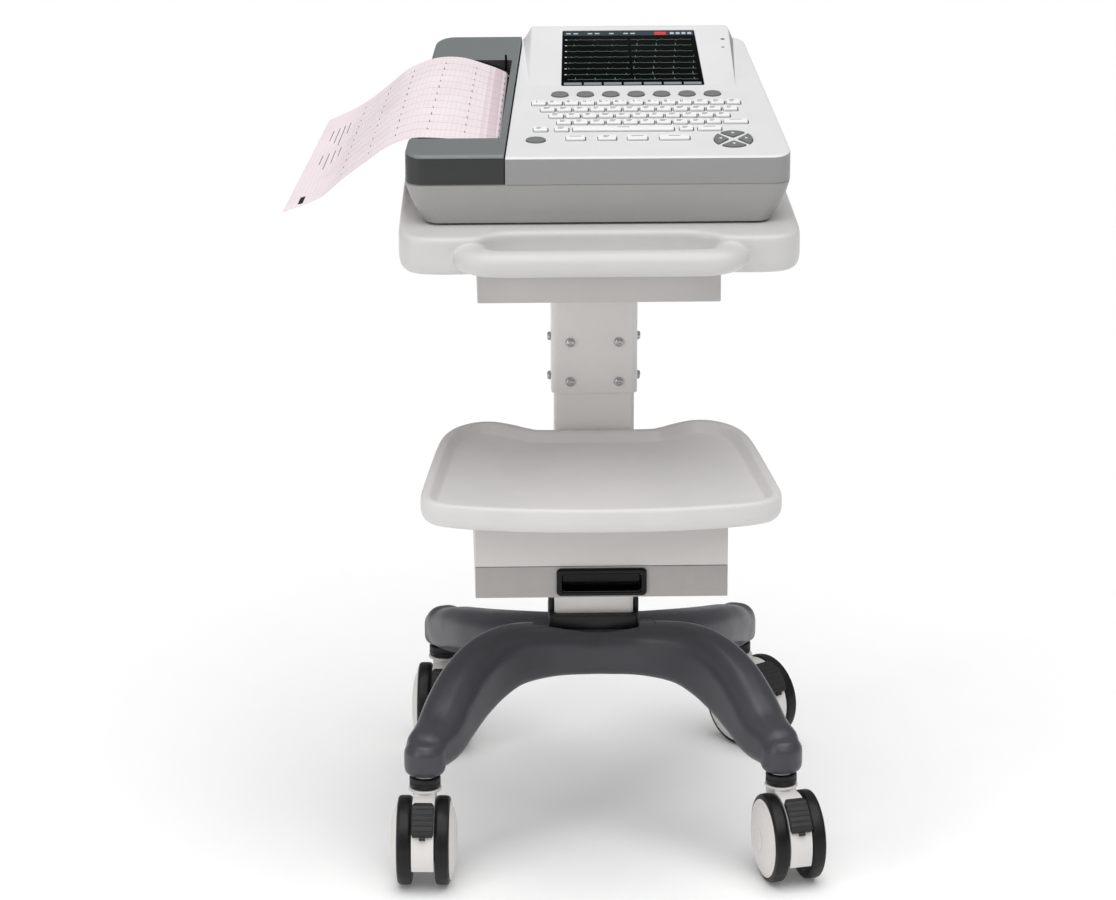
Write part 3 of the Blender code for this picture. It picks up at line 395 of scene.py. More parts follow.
def apply_modifiers(obj, sharp=40):
    """The object's modifiers become its mesh."""
    bpy.context.view_layer.update()
    graph = bpy.context.evaluated_depsgraph_get()
    mesh = bpy.data.meshes.new_from_object(obj.evaluated_get(graph), depsgraph=graph)
    old = obj.data
    obj.modifiers.clear()
    obj.data = mesh
    mesh.name = old.name
    bpy.data.meshes.remove(old)
    if sharp is not None:
        finish_mesh(obj, sharp)
    return obj


def cut(obj, shape, operation="DIFFERENCE", sharp=40, done=True):
    """Cuts or joins one closed shape, then removes the cutter."""
    verts, faces = shape
    mesh = bpy.data.meshes.new("cutter")
    mesh.from_pydata([(x * MM, y * MM, z * MM) for x, y, z in verts], [], [tuple(f) for f in faces])
    bm = bmesh.new()
    bm.from_mesh(mesh)
    bmesh.ops.recalc_face_normals(bm, faces=bm.faces)
    bm.to_mesh(mesh)
    bm.free()
    cutter = bpy.data.objects.new("cutter", mesh)
    scene.collection.objects.link(cutter)
    mod = obj.modifiers.new("cut", "BOOLEAN")
    mod.operation, mod.solver, mod.object = operation, "EXACT", cutter
    apply_modifiers(obj, sharp)
    bpy.data.objects.remove(cutter, do_unlink=True)
    bpy.data.meshes.remove(mesh)
    return obj


def tidy(obj, near=0.01):
    """Drops the slivers that a cut leaves, and splits its many-sided faces evenly."""
    bm = bmesh.new()
    bm.from_mesh(obj.data)
    bmesh.ops.remove_doubles(bm, verts=bm.verts, dist=near * MM)
    bmesh.ops.triangulate(bm, faces=[f for f in bm.faces if len(f.verts) > 4], ngon_method="BEAUTY")
    bm.to_mesh(obj.data)
    bm.free()
    return obj


def bevel(obj, width, segments=3, angle=35, sharp=50):
    mod = obj.modifiers.new("bevel", "BEVEL")
    mod.width, mod.segments = width * MM, segments
    mod.limit_method, mod.angle_limit = "ANGLE", math.radians(angle)
    mod.harden_normals = False
    mod.use_clamp_overlap = True
    return apply_modifiers(obj, sharp)


def remesh(obj, voxel, smooth=6, factor=0.5, sharp=None):
    """Blends joined solids into one cast-looking skin."""
    mod = obj.modifiers.new("remesh", "REMESH")
    mod.mode, mod.voxel_size = "VOXEL", voxel * MM
    if smooth:
        soften = obj.modifiers.new("soften", "SMOOTH")
        soften.factor, soften.iterations = factor, smooth
    apply_modifiers(obj, None)
    obj.data.shade_smooth()
    if sharp:
        obj.data.set_sharp_from_angle(angle=math.radians(sharp))
    return obj


def merge(*shapes):
    verts, faces = [], []
    for v, f in shapes:
        start = len(verts)
        verts += [tuple(p) for p in v]
        faces += [[i + start for i in face] for face in f]
    return verts, faces


def loft(rings, closed=False, caps=True):
    n = len(rings[0])
    verts = [tuple(p) for ring in rings for p in ring]
    faces = []
    last = len(rings) if closed else len(rings) - 1
    for i in range(last):
        a, b = i * n, ((i + 1) % len(rings)) * n
        for j in range(n):
            k = (j + 1) % n
            faces.append([a + j, a + k, b + k, b + j])
    if not closed and caps:
        faces.append(list(range(n))[::-1])
        faces.append([(len(rings) - 1) * n + j for j in range(n)])
    return verts, faces


def revolve(profile, n=64, axis="z", closed=False):
    verts, rows = [], []
    for r, h in profile:
        if r < 1e-6:
            rows.append([len(verts)] * n)
            verts.append((0.0, 0.0, h))
        else:
            rows.append([len(verts) + j for j in range(n)])
            verts += [(r * math.cos(2 * math.pi * j / n), r * math.sin(2 * math.pi * j / n), h) for j in range(n)]
    faces = []
    pairs = list(zip(rows, rows[1:])) + ([(rows[-1], rows[0])] if closed else [])
    for a, b in pairs:
        for j in range(n):
            k = (j + 1) % n
            face = [a[j], a[k], b[k], b[j]]
            face = [v for i, v in enumerate(face) if v not in face[:i]]
            if len(face) > 2:
                faces.append(face)
    if not closed:
        for row, turn in ((rows[0], -1), (rows[-1], 1)):
            if row[0] != row[1]:
                faces.append(row[::turn])
    if axis == "x":
        verts = [(h, x, y) for x, y, h in verts]
    elif axis == "y":
        verts = [(y, h, x) for x, y, h in verts]
    return verts, faces


def moved(shape, dx=0.0, dy=0.0, dz=0.0):
    verts, faces = shape
    return [(x + dx, y + dy, z + dz) for x, y, z in verts], faces


def rounded_polygon(corners, radii, n=10):
    out = []
    m = len(corners)
    for i in range(m):
        p, a, b = np.array(corners[i], float), np.array(corners[i - 1], float), np.array(corners[(i + 1) % m], float)
        u, v = (a - p) / np.linalg.norm(a - p), (b - p) / np.linalg.norm(b - p)
        r = radii[i] if hasattr(radii, "__len__") else radii
        half = math.acos(max(-1, min(1, float(u @ v)))) / 2
        if abs(half - math.pi / 2) < 1e-3:
            out.append(tuple(p))
            continue
        r = max(r, 0.05)
        t = r / math.tan(half)
        centre = p + (u + v) / np.linalg.norm(u + v) * (r / math.sin(half))
        s, e = p + u * t - centre, p + v * t - centre
        a0, a1 = math.atan2(s[1], s[0]), math.atan2(e[1], e[0])
        turn = (a1 - a0 + math.pi) % (2 * math.pi) - math.pi
        for k in range(n + 1):
            ang = a0 + turn * k / n
            out.append((centre[0] + r * math.cos(ang), centre[1] + r * math.sin(ang)))
    return out


def box_outline(w, d, r, n=8, at=(0.0, 0.0)):
    x, y = at
    return rounded_polygon([(x - w / 2, y - d / 2), (x + w / 2, y - d / 2), (x + w / 2, y + d / 2), (x - w / 2, y + d / 2)], r, n)


def prism(outline, low, high):
    z0 = low if callable(low) else (lambda x, y: low)
    z1 = high if callable(high) else (lambda x, y: high)
    return loft([[(x, y, z0(x, y)) for x, y in outline], [(x, y, z1(x, y)) for x, y in outline]])


def block(x0, x1, y0, y1, z0, z1):
    return prism([(x0, y0), (x1, y0), (x1, y1), (x0, y1)], z0, z1)


def soft_prism(w, d, r, z0, z1, edge=1.0, n=8, at=(0.0, 0.0), steps=3):
    """A rounded-rectangle prism whose top and bottom edges are rounded too."""
    rings = []
    for k in range(steps + 1):
        a = math.pi / 2 * k / steps
        rings.append((edge * (1 - math.sin(a)), z0 + edge * (1 - math.cos(a))))
    for k in range(steps + 1):
        a = math.pi / 2 * k / steps
        rings.append((edge * (1 - math.cos(a)), z1 - edge * (1 - math.sin(a))))
    return loft([[(x, y, z) for x, y in box_outline(w - 2 * d0, d - 2 * d0, max(r - d0, 0.2), n, at)] for d0, z in rings])


def smooth_curve(points, steps, closed=False):
    p = [np.array(q, float) for q in points]
    m = len(p)
    out = []
    for i in range(m if closed else m - 1):
        if closed:
            a, b, c, d = p[i - 1], p[i], p[(i + 1) % m], p[(i + 2) % m]
        else:
            b, c = p[i], p[i + 1]
            a = p[i - 1] if i else 2 * b - c
            d = p[i + 2] if i + 2 < m else 2 * c - b
        for k in range(steps):
            t = k / steps
            out.append(0.5 * (2 * b + (c - a) * t + (2 * a - 5 * b + 4 * c - d) * t * t + (3 * b - a - 3 * c + d) * t ** 3))
    if not closed:
        out.append(p[-1])
    return out


def inset(outline, distance):
    pts = np.array([q[:2] for q in outline], float)
    tangent = np.roll(pts, -1, 0) - np.roll(pts, 1, 0)
    tangent /= np.linalg.norm(tangent, axis=1)[:, None]
    normal = np.stack([-tangent[:, 1], tangent[:, 0]], 1)
    return [tuple(q) for q in pts + normal * distance]


def even_loop(outline, count):
    """The closed outline resampled at even spacing."""
    pts = np.array([q[:2] for q in outline], float)
    ring = np.vstack([pts, pts[:1]])
    step = np.r_[0, np.cumsum(np.linalg.norm(np.diff(ring, axis=0), axis=1))]
    t = np.linspace(0, step[-1], count, endpoint=False)
    return [(float(x), float(y)) for x, y in zip(np.interp(t, step, ring[:, 0]), np.interp(t, step, ring[:, 1]))]


# ---------------------------------------------------------------- base: two cast leg arches
def leg_rings(stations, steps, corner_n=6):
    line = smooth_curve(stations, steps)
    rings = []
    for i, s in enumerate(line):
        before, after = line[max(i - 1, 0)][:3], line[min(i + 1, len(line) - 1)][:3]
        along = after - before
        if i == 0:
            along = np.array([1.0, 0, 0])
        along /= np.linalg.norm(along)
        plan = np.array([along[0], along[1], 0.0])
        plan /= np.linalg.norm(plan)
        side = np.array([-plan[1], plan[0], 0.0])
        upward = np.cross(along, side)
        w, h = s[3], s[4]
        section = box_outline(w, h, min(w, h) * 0.40, corner_n)
        rings.append([s[:3] + side * a + upward * b for a, b in section])
    centre, last = line[-1][:3], rings[-1]
    along = line[-1][:3] - line[-2][:3]
    along /= np.linalg.norm(along)
    for push, scale in ((5.0, 0.985), (9.5, 0.93), (14.0, 0.84), (18.0, 0.70), (21.0, 0.50), (22.5, 0.25)):
        rings.append([centre + along * push + (q - centre) * scale for q in last])
    return rings


def build_arch(name, stations):
    half = leg_rings(stations, 7)
    left = [[(-q[0], q[1], q[2]) for q in ring] for ring in half[1:]][::-1]
    obj = piece(name, moved(loft(left + half), BASE_X), M["base"], None)
    side = "front" if stations[0][1] < 0 else "rear"
    for key, (x, y, _) in CASTERS.items():
        if key.startswith(side):
            r = LEG_END_R
            boss = revolve([(0, LEG_BOTTOM - 0.2), (r - 6, LEG_BOTTOM - 0.2), (r - 1.5, LEG_BOTTOM + 2), (r, LEG_BOTTOM + 7), (r, 146.0), (r - 6, 156.0), (0, 160)], 40)
            cut(obj, moved(boss, x, y), "UNION")
    cut(obj, block(-300, 300, -300, 300, 60, LEG_BOTTOM))
    remesh(obj, 1.9, 16, 0.5)
    cut(obj, block(-70, 70, -40, 40, HUB_TOP, HUB_TOP + 60), sharp=None)
    tidy(obj)
    cut(obj, block(-260, 260, -0.3, 0.3, 120, 320), sharp=None)
    tidy(obj)
    obj.data.shade_smooth()
    obj.data.set_sharp_from_angle(angle=math.radians(50))
    return settle(obj, "trolley", name.replace("_skin", ""))


build_arch("front_leg_arch_skin", FRONT_LEG)
build_arch("rear_leg_arch_skin", REAR_LEG)

# column socket: black moulding with two upright tabs
socket = piece("column_socket_moulding", soft_prism(SOCKET_W, SOCKET_D, 6, SOCKET_LOW, SOCKET_HIGH, 1.6), M["black"], None)
for sx in (-1, 1):
    cut(socket, soft_prism(6.2, 26, 2.9, SOCKET_HIGH - 6, min(SOCKET_TAB, SOCKET_HIGH + 14), 1.2, 4, (sx * (SOCKET_W / 2 - 3.1), 0)), "UNION")
cut(socket, prism(box_outline(TUBE_W + 0.8, TUBE_D + 0.8, TUBE_R + 0.4, 8), SOCKET_LOW + 4.2, SOCKET_TAB + 10))
settle(socket, "trolley", "column_socket")


# ---------------------------------------------------------------- casters
def caster(key, x, y, yaw):
    name = "caster_" + key
    place = Matrix.Translation((x * MM, y * MM, 0)) @ Matrix.Rotation(math.radians(yaw), 4, "Z")
    swivel = name + "_swivel"
    # stem: pin, grip ring with grooves, and the pressed steel washer over it
    stem = [(0, 70), (STEM_R - 1, 70), (STEM_R, 71), (STEM_R, COLLAR_LOW), (COLLAR_R - 2.0, COLLAR_LOW), (COLLAR_R - 0.6, COLLAR_LOW + 0.5), (COLLAR_R, COLLAR_LOW + 1.6),
            (COLLAR_R, COLLAR_LOW + 5.2), (COLLAR_R - 0.7, COLLAR_LOW + 5.8), (COLLAR_R - 0.7, COLLAR_LOW + 6.6), (COLLAR_R, COLLAR_LOW + 7.2),
            (COLLAR_R, COLLAR_HIGH - 2.0), (COLLAR_R - 0.6, COLLAR_HIGH - 0.6), (COLLAR_R - 1.8, COLLAR_HIGH), (13.6, COLLAR_HIGH), (12.6, COLLAR_HIGH - 1.4), (9, COLLAR_HIGH - 1.4),
            (9, LEG_BOTTOM - 0.6), (STEM_R, LEG_BOTTOM - 0.6), (STEM_R, 149), (0, 150.5)]
    piece(name + "_stem_turned", revolve(stem, 56), M["black"], "trolley", name + "_stem", place)
    washer = [(STEM_R + 0.2, LEG_BOTTOM - 2.0), (13.8, LEG_BOTTOM - 2.0), (14.3, LEG_BOTTOM - 1.5), (14.3, LEG_BOTTOM - 0.9), (13.8, LEG_BOTTOM - 0.45), (STEM_R + 0.2, LEG_BOTTOM - 0.45)]
    piece(name + "_washer", revolve(washer, 48, closed=True), M["steel"], "trolley", (), place)

    # housing: web and fender, pulled in over the neck
    outline = []
    for k in range(33):
        a = math.radians(-24 + (105 + 24) * k / 32)
        outline.append((-TRAIL - FENDER_R * math.cos(a), WHEEL_R + FENDER_R * math.sin(a)))
    tail = smooth_curve([(-16.2, 102.6), (4, 102.6), (14.5, 102.4), (17, 99.5), (17, 88), (14, 76), (6, 63), (-5, 52), (-14, 43), (-29, 38), (-45, 37.5), (-57, 38)], 4)
    outline += [tuple(q) for q in tail]
    web = [[(sx * WEB_HALF, py, pz) for py, pz in outline] for sx in (-1, 1)]
    housing = piece(name + "_housing_moulding", loft(web), M["caster_white"], None)
    bevel(housing, 0.8, 3, 40)
    cut(housing, revolve([(0, 99.7), (17.4, 99.7), (18.5, 100.4), (18.5, 101.8), (17.6, 102.7), (0, 102.7)], 48), "UNION")
    # an arch hollowed between the walls underneath, where the axle boss shows
    cut(housing, moved(revolve([(0, -30), (8.2, -30), (8.2, 30), (0, 30)], 40, "x"), 0, -TRAIL - 2, 37.5))
    cut(housing, moved(revolve([(0, -26.3), (5.0, -26.3), (5.0, 26.3), (0, 26.3)], 32, "x"), 0, -TRAIL, WHEEL_R), "UNION")
    cut(housing, revolve([(0, 68.5), (STEM_R + 0.5, 68.5), (STEM_R + 0.5, 120), (0, 120)], 32))
    tidy(housing)
    housing.data.transform(place)
    settle(housing, swivel, name + "_housing")

    # wheels: tyre with a chamfered shoulder and a shallow groove, and a domed cover
    for side, sx in (("left", -1), ("right", 1)):
        wheel = name + "_wheel_" + side
        tyre = [(5.4, 27.2), (5.4, WHEEL_IN + 0.6), (6.2, WHEEL_IN), (11, WHEEL_IN), (12, WHEEL_IN + 1.0), (40, WHEEL_IN + 1.0), (41, WHEEL_IN), (46.4, WHEEL_IN), (48.2, WHEEL_IN + 0.4), (49.4, WHEEL_IN + 1.6),
                (WHEEL_R - 0.15, WHEEL_IN + 3.4), (WHEEL_R, WHEEL_IN + 5.2), (WHEEL_R, WHEEL_OUT - 5.2), (WHEEL_R - 0.2, WHEEL_OUT - 3.6), (49.2, WHEEL_OUT - 1.6), (47.8, WHEEL_OUT - 0.5), (46.2, WHEEL_OUT),
                (45.4, WHEEL_OUT), (44.9, WHEEL_OUT - 0.7), (43.6, WHEEL_OUT - 0.7), (20, WHEEL_OUT - 0.7), (20, 27.2)]
        verts, faces = revolve(tyre, 96, "x", closed=True)
        turn = place @ Matrix.Translation((0, -TRAIL * MM, WHEEL_R * MM))
        piece(wheel + "_tyre", ([(sx * h, a, b) for h, a, b in verts], faces), M["tyre"], name + "_wheel_" + side, name + "_wheel_" + side, turn, 32)
        dome = [(0, 29.2), (44.2, 29.2), (44.2, 29.6), (43.6, 30.2), (42, 30.9), (40.6, 31.0), (40.0, 30.8), (39.2, 31.3), (34, 33.5), (27, 35.3), (20, 36.3), (14.2, 36.7), (13.6, 36.4), (12.6, 36.4), (12.0, 36.8), (6, 37.0), (0, HUB_CAP_OUT)]
        verts, faces = revolve(dome, 96, "x")
        cover = piece(wheel + "_cover", ([(sx * h, a, b) for h, a, b in verts], faces), M["caster_white"], name + "_wheel_" + side, (), turn, 32)

    # brake pedal: ribbed treadle with clipped upper corners and a lip at its foot
    low, high = math.radians(PEDAL_LOW), math.radians(PEDAL_HIGH)
    rings = []
    count = 61
    for k in range(count):
        t = k / (count - 1)
        a = low + (high - low) * t
        deg = PEDAL_LOW + (PEDAL_HIGH - PEDAL_LOW) * t
        ridge = 0.0
        if 0.14 < t < 0.86:
            ridge = 0.9 * max(0.0, math.sin((t - 0.14) / 0.72 * math.pi * 11)) ** 0.6 if math.sin((t - 0.14) / 0.72 * math.pi * 11) > 0 else 0.0
        outer = PEDAL_OUT - 0.9 + ridge
        outer -= 2.2 * max(0.0, 1 - t / 0.05) ** 2 + 2.6 * max(0.0, 1 - (1 - t) / 0.07) ** 2
        width = 12.4 - 3.2 * max(0.0, 1 - (1 - t) / 0.14) - 1.6 * max(0.0, 1 - t / 0.08)
        ring = []
        for px, pr in ((-width, PEDAL_IN), (-width, outer - 0.8), (-width + 0.8, outer), (width - 0.8, outer), (width, outer - 0.8), (width, PEDAL_IN)):
            ring.append((px, -TRAIL - pr * math.cos(a), WHEEL_R + pr * math.sin(a)))
        rings.append(ring)
    pedal = piece(name + "_brake_pedal_moulding", loft(rings), M["black"], None, sharp=30)
    a = math.radians(PEDAL_LOW - 1.5)
    lip = moved(revolve([(0, -3.4), (2.2, -3.4), (2.2, 3.4), (0, 3.4)], 20, "x"), 0, -TRAIL - (PEDAL_IN + 2.4) * math.cos(a), WHEEL_R + (PEDAL_IN + 2.4) * math.sin(a))
    cut(pedal, lip, "UNION", 30)
    pedal.data.transform(place)
    settle(pedal, name + "_pedal", name + "_brake_pedal")


for key, (cx, cy, yaw) in CASTERS.items():
    caster(key, cx, cy, yaw)


# ---------------------------------------------------------------- column
def tube(w, d, r, wall, low, high, edge=0.5):
    def at(off, z):
        return [(x, y, z) for x, y in box_outline(w - 2 * off, d - 2 * off, max(r - off, 0.6), 10)]
    rings = [at(edge, low), at(edge * 0.3, low + edge * 0.3), at(0, low + edge), at(0, high - edge), at(edge * 0.3, high - edge * 0.3), at(edge, high),
             at(wall - edge, high), at(wall, high - edge), at(wall, low + edge), at(wall - edge, low)]
    return loft(rings, closed=True)


column = piece("column_tube_drawn", tube(TUBE_W, TUBE_D, TUBE_R, TUBE_WALL, TUBE_LOW, TUBE_HIGH), M["column"], None)
sleeve = piece("column_sleeve_drawn", tube(SLEEVE_W, SLEEVE_D, TUBE_R + 2, SLEEVE_WALL, SLEEVE_LOW, SLEEVE_HIGH), M["column"], None)
front_face = -SLEEVE_D / 2
for z in SCREW_Z:
    for sx in (-1, 1):
        for part in (column, sleeve):
            cut(part, moved(revolve([(0, -6), (2.9, -6), (2.9, 14), (0, 14)], 24, "y"), sx * SCREW_X, front_face, z))
    for part in (column, sleeve):
        cut(part, moved(revolve([(0, -80), (3.5, -80), (3.5, 80), (0, 80)], 24, "x"), 0, 2, z))
settle(column, "trolley", "column_tube")
settle(sleeve, "trolley", "column_sleeve")


def cross_recess(depth, size):
    a = block(-size, size, -0.55, 0.55, -depth, depth)
    b = block(-0.55, 0.55, -size, size, -depth, depth)
    return a, b


number = 1
for z in SCREW_Z:
    for sx in (-1, 1):
        profile = [(0, 13.0), (2.1, 13.0), (2.5, 12.4), (2.5, -0.4), (5.2, -0.4), (5.2, -1.2), (4.9, -2.3), (4.2, -3.2), (3.0, -3.75), (0, -3.9)]
        screw = piece("sleeve_screw_%d_pan_head" % number, moved(revolve(profile, 40, "y"), sx * SCREW_X, front_face, z), M["steel"], None)
        for cutter in cross_recess(1.5, 2.5):
            verts, faces = cutter
            spin = math.radians(20 + 37 * number)
            verts = [(x * math.cos(spin) - y * math.sin(spin), front_face - 3.9 + h, x * math.sin(spin) + y * math.cos(spin)) for x, y, h in verts]
            cut(screw, moved((verts, faces), sx * SCREW_X, 0, z))
        settle(screw, "trolley", "sleeve_screw_%d" % number)
        number += 1
half = SLEEVE_W / 2 + 0.4
for name, z in (("lower", SCREW_Z[0]), ("upper", SCREW_Z[1])):
    profile = [(0, -half - 3.9), (3.0, -half - 3.75), (4.2, -half - 3.2), (4.9, -half - 2), (5.0, -half - 0.8), (5.0, -half), (3.0, -half), (3.0, half), (5.0, half), (5.0, half + 0.8), (4.9, half + 2), (4.2, half + 3.2), (3.0, half + 3.75), (0, half + 3.9)]
    piece("sleeve_cross_bolt_%s_turned" % name, moved(revolve(profile, 36, "x"), 0, 2, z), M["steel"], "trolley", "sleeve_cross_bolt_" + name)


# ---------------------------------------------------------------- tray
def outline_of(half_points, steps):
    left = [(-x, y) for x, y in half_points[:0:-1]]
    return smooth_curve(half_points + left, steps, closed=True)


tray_line = outline_of(TRAY_HALF, 8)
tray_profile = [(17, TRAY_LOW), (12, TRAY_LOW + 0.5), (7, TRAY_LOW + 2.4), (3.2, TRAY_LOW + 5.6), (1.0, TRAY_LOW + 9.6), (0.1, TRAY_LOW + 14), (0, TRAY_TOP - 9),
                (0.2, TRAY_TOP - 5.0), (0.6, TRAY_TOP - 2.8), (1.6, TRAY_TOP - 1.2), (3.0, TRAY_TOP - 0.3), (4.8, TRAY_TOP), (8.4, TRAY_TOP), (9.8, TRAY_TOP - 0.3), (11.0, TRAY_TOP - 1.1), (12.0, TRAY_TOP - 2.3),
                (17.2, TRAY_TOP - 9.2), (18.2, TRAY_TOP - 10.2), (19.6, TRAY_TOP - 10.8), (21.4, TRAY_TOP - TRAY_DISH)]
tray_rings = [[(x, y, z) for x, y in inset(tray_line, d)] for d, z in tray_profile]
piece("lower_tray_moulding", loft(tray_rings), M["tray"], "trolley", "lower_tray", sharp=60)

# ---------------------------------------------------------------- drawer
hw = DRAWER_W / 2
house = piece("drawer_housing_folded", block(-hw, hw, DRAWER_FRONT, DRAWER_BACK, DRAWER_LOW, TRAY_LOW - 0.4), M["drawer"], None)
cut(house, block(-hw - 10, hw + 10, DRAWER_FRONT - 10, DRAWER_FRONT + 6.5, DRAWER_LOW - 10, DRAWER_SPLIT))
cut(house, block(-hw + 5, hw - 5, DRAWER_FRONT - 10, DRAWER_BACK - 8, DRAWER_LOW + 2.6, DRAWER_SPLIT - 2.5))
cut(house, block(-hw + 5, hw - 5, DRAWER_FRONT + 4, DRAWER_BACK - 6, DRAWER_SPLIT + 2, TRAY_LOW + 20))
bevel(house, 0.7, 3, 40)
settle(house, "trolley", "drawer_housing")

dw = hw - 7.5
# the drawer front takes the darker copy of the drawer paint: painted shade
drawer = piece("drawer_folded", block(-hw, hw, DRAWER_FRONT, DRAWER_FRONT + 6, DRAWER_LOW, DRAWER_SPLIT - 0.6), M["drawer_front"], None)
cut(drawer, block(-dw, dw, DRAWER_FRONT + 3, DRAWER_BACK - 12, DRAWER_LOW + 3.6, DRAWER_SPLIT - 4.5), "UNION")
cut(drawer, block(-dw + 2.5, dw - 2.5, DRAWER_FRONT + 8.5, DRAWER_BACK - 14.5, DRAWER_LOW + 6.1, DRAWER_SPLIT + 10))
cut(drawer, block(-PULL_W / 2 + 3, PULL_W / 2 - 3, DRAWER_FRONT - 5, DRAWER_FRONT + 9.5, PULL_LOW + 4.5, PULL_HIGH - 4.5))
bevel(drawer, 0.7, 3, 40)
settle(drawer, "drawer", "drawer")

# flush pull: a rounded bezel round a finger pocket
ph, pz = PULL_HIGH - PULL_LOW, (PULL_LOW + PULL_HIGH) / 2
rings = []
for d0, y, r in ((4.2, DRAWER_FRONT + 16.0, 2), (4.2, DRAWER_FRONT - 0.4, 2), (0, DRAWER_FRONT - 0.4, 5), (0, DRAWER_FRONT - 1.8, 5), (0.4, DRAWER_FRONT - 2.9, 4.7), (1.3, DRAWER_FRONT - 3.4, 4.2), (3.4, DRAWER_FRONT - 3.5, 3.6),
                 (5.0, DRAWER_FRONT - 3.2, 3.2), (6.0, DRAWER_FRONT - 2.2, 2.8), (6.3, DRAWER_FRONT + 1, 2.6), (6.8, DRAWER_FRONT + 12.2, 2.4), (7.4, DRAWER_FRONT + 13.0, 2.0)):
    rings.append([(x, y, z) for x, z in box_outline(PULL_W - 2 * d0, ph - 2 * d0, r, 6, (0, pz))])
piece("drawer_pull_moulding", loft(rings), M["pull"], "drawer", "drawer_pull")

# ---------------------------------------------------------------- bracket, board and handle
bracket = piece("top_bracket_folded", block(-BRACKET_W / 2, BRACKET_W / 2, BRACKET_FRONT, BRACKET_BACK, BRACKET_LOW, BRACKET_HIGH), M["bracket"], None)
bevel(bracket, 1.3, 4, 40)
settle(bracket, "trolley", "top_bracket")

board_line = outline_of(BOARD_HALF, 7)
board_profile = [(15, BOARD_LOW), (9.5, BOARD_LOW + 0.5), (5.2, BOARD_LOW + 2.2), (2.2, BOARD_LOW + 5.4), (0.6, BOARD_LOW + 9.8), (0, BOARD_LOW + 15), (0, BOARD_TOP - 9),
                 (0.2, BOARD_TOP - 6.2), (1.0, BOARD_TOP - 3.6), (2.5, BOARD_TOP - 1.6), (4.8, BOARD_TOP - 0.4), (8, BOARD_TOP), (15, BOARD_TOP)]
board_rings = [[(x, y, z) for x, y in inset(board_line, d)] for d, z in board_profile]
board = piece("top_board_moulding", loft(board_rings), M["board"], None)
bar = [(141, -196, 20.5), (140.5, -209, 20), (139, -217, 19.5), (134, -225, 18.6), (125, -231.5, 17), (112, -235, 15.6), (97, HANDLE_Y, HANDLE_R), (60, HANDLE_Y, HANDLE_R)]
bar_line = smooth_curve([(-x, y, r) for x, y, r in bar] + bar[::-1], 6)
handle_rings = []
for i, q in enumerate(bar_line):
    d = (bar_line[min(i + 1, len(bar_line) - 1)] - bar_line[max(i - 1, 0)])[:2]
    d = d / np.linalg.norm(d)
    across = np.array([-d[1], d[0]]) * q[2]
    handle_rings.append([(q[0] + math.cos(2 * math.pi * k / 32) * across[0], q[1] + math.cos(2 * math.pi * k / 32) * across[1], HANDLE_Z + HANDLE_R * math.sin(2 * math.pi * k / 32)) for k in range(32)])
cut(board, loft(handle_rings), "UNION")
remesh(board, 1.7, 4, 0.5)
settle(board, "trolley", ("top_board", "push_handle"))


# ---------------------------------------------------------------- ECG machine: shared geometry
def along(front, rear, y):
    return front + (rear - front) * (y - ECG_FRONT) / (ECG_BACK - ECG_FRONT)


def left_x(y):
    return -along(ECG_LEFT_FRONT, ECG_LEFT_BACK, y)


def right_x(y):
    return along(ECG_RIGHT_FRONT, ECG_RIGHT_BACK, y)


def seam_x(y):
    return along(SEAM_FRONT, SEAM_BACK, y)


def panel_z(y):
    return ECG_TOP_FRONT + (y - ECG_FRONT) * math.tan(PANEL_SLOPE)


FOLD_Y = 26.3


def screen_z(y):
    return panel_z(FOLD_Y) + (y - FOLD_Y) * math.tan(SCREEN_SLOPE)


def panel_point(x, y, lift, slope=PANEL_SLOPE, base=panel_z):
    return (x, y - lift * math.sin(slope), base(y) + lift * math.cos(slope))


def screen_point(x, y, lift):
    return panel_point(x, y, lift, SCREEN_SLOPE, screen_z)


def panel_prism(outline, low, high, at=panel_point):
    return loft([[at(x, y, low) for x, y in outline], [at(x, y, high) for x, y in outline]])


def oval(x, y, w, h, n=40):
    return [(x + w / 2 * math.cos(2 * math.pi * k / n), y + h / 2 * math.sin(2 * math.pi * k / n)) for k in range(n)]


def sector(quarter, grow=0.0):
    """A quarter of a disc as a wedge, its tip set out from the centre."""
    a = math.radians(90 * quarter)
    inner_r, spread = 5.2 - grow, math.radians(38.5 + 1.2 * grow)
    r = ARROW_R + grow
    corners = [(inner_r, 0.0)] + [(r * math.cos(t), r * math.sin(t)) for t in np.linspace(-spread, spread, 11)]
    return [(ARROW_XY[0] + px * math.cos(a) - py * math.sin(a), ARROW_XY[1] + px * math.sin(a) + py * math.cos(a)) for px, py in corners]


def inside(point, loop):
    x, y = point
    hit = False
    for (x0, y0), (x1, y1) in zip(loop, loop[1:] + loop[:1]):
        if (y0 > y) != (y1 > y) and x < (x1 - x0) * (y - y0) / (y1 - y0) + x0:
            hit = not hit
    return hit


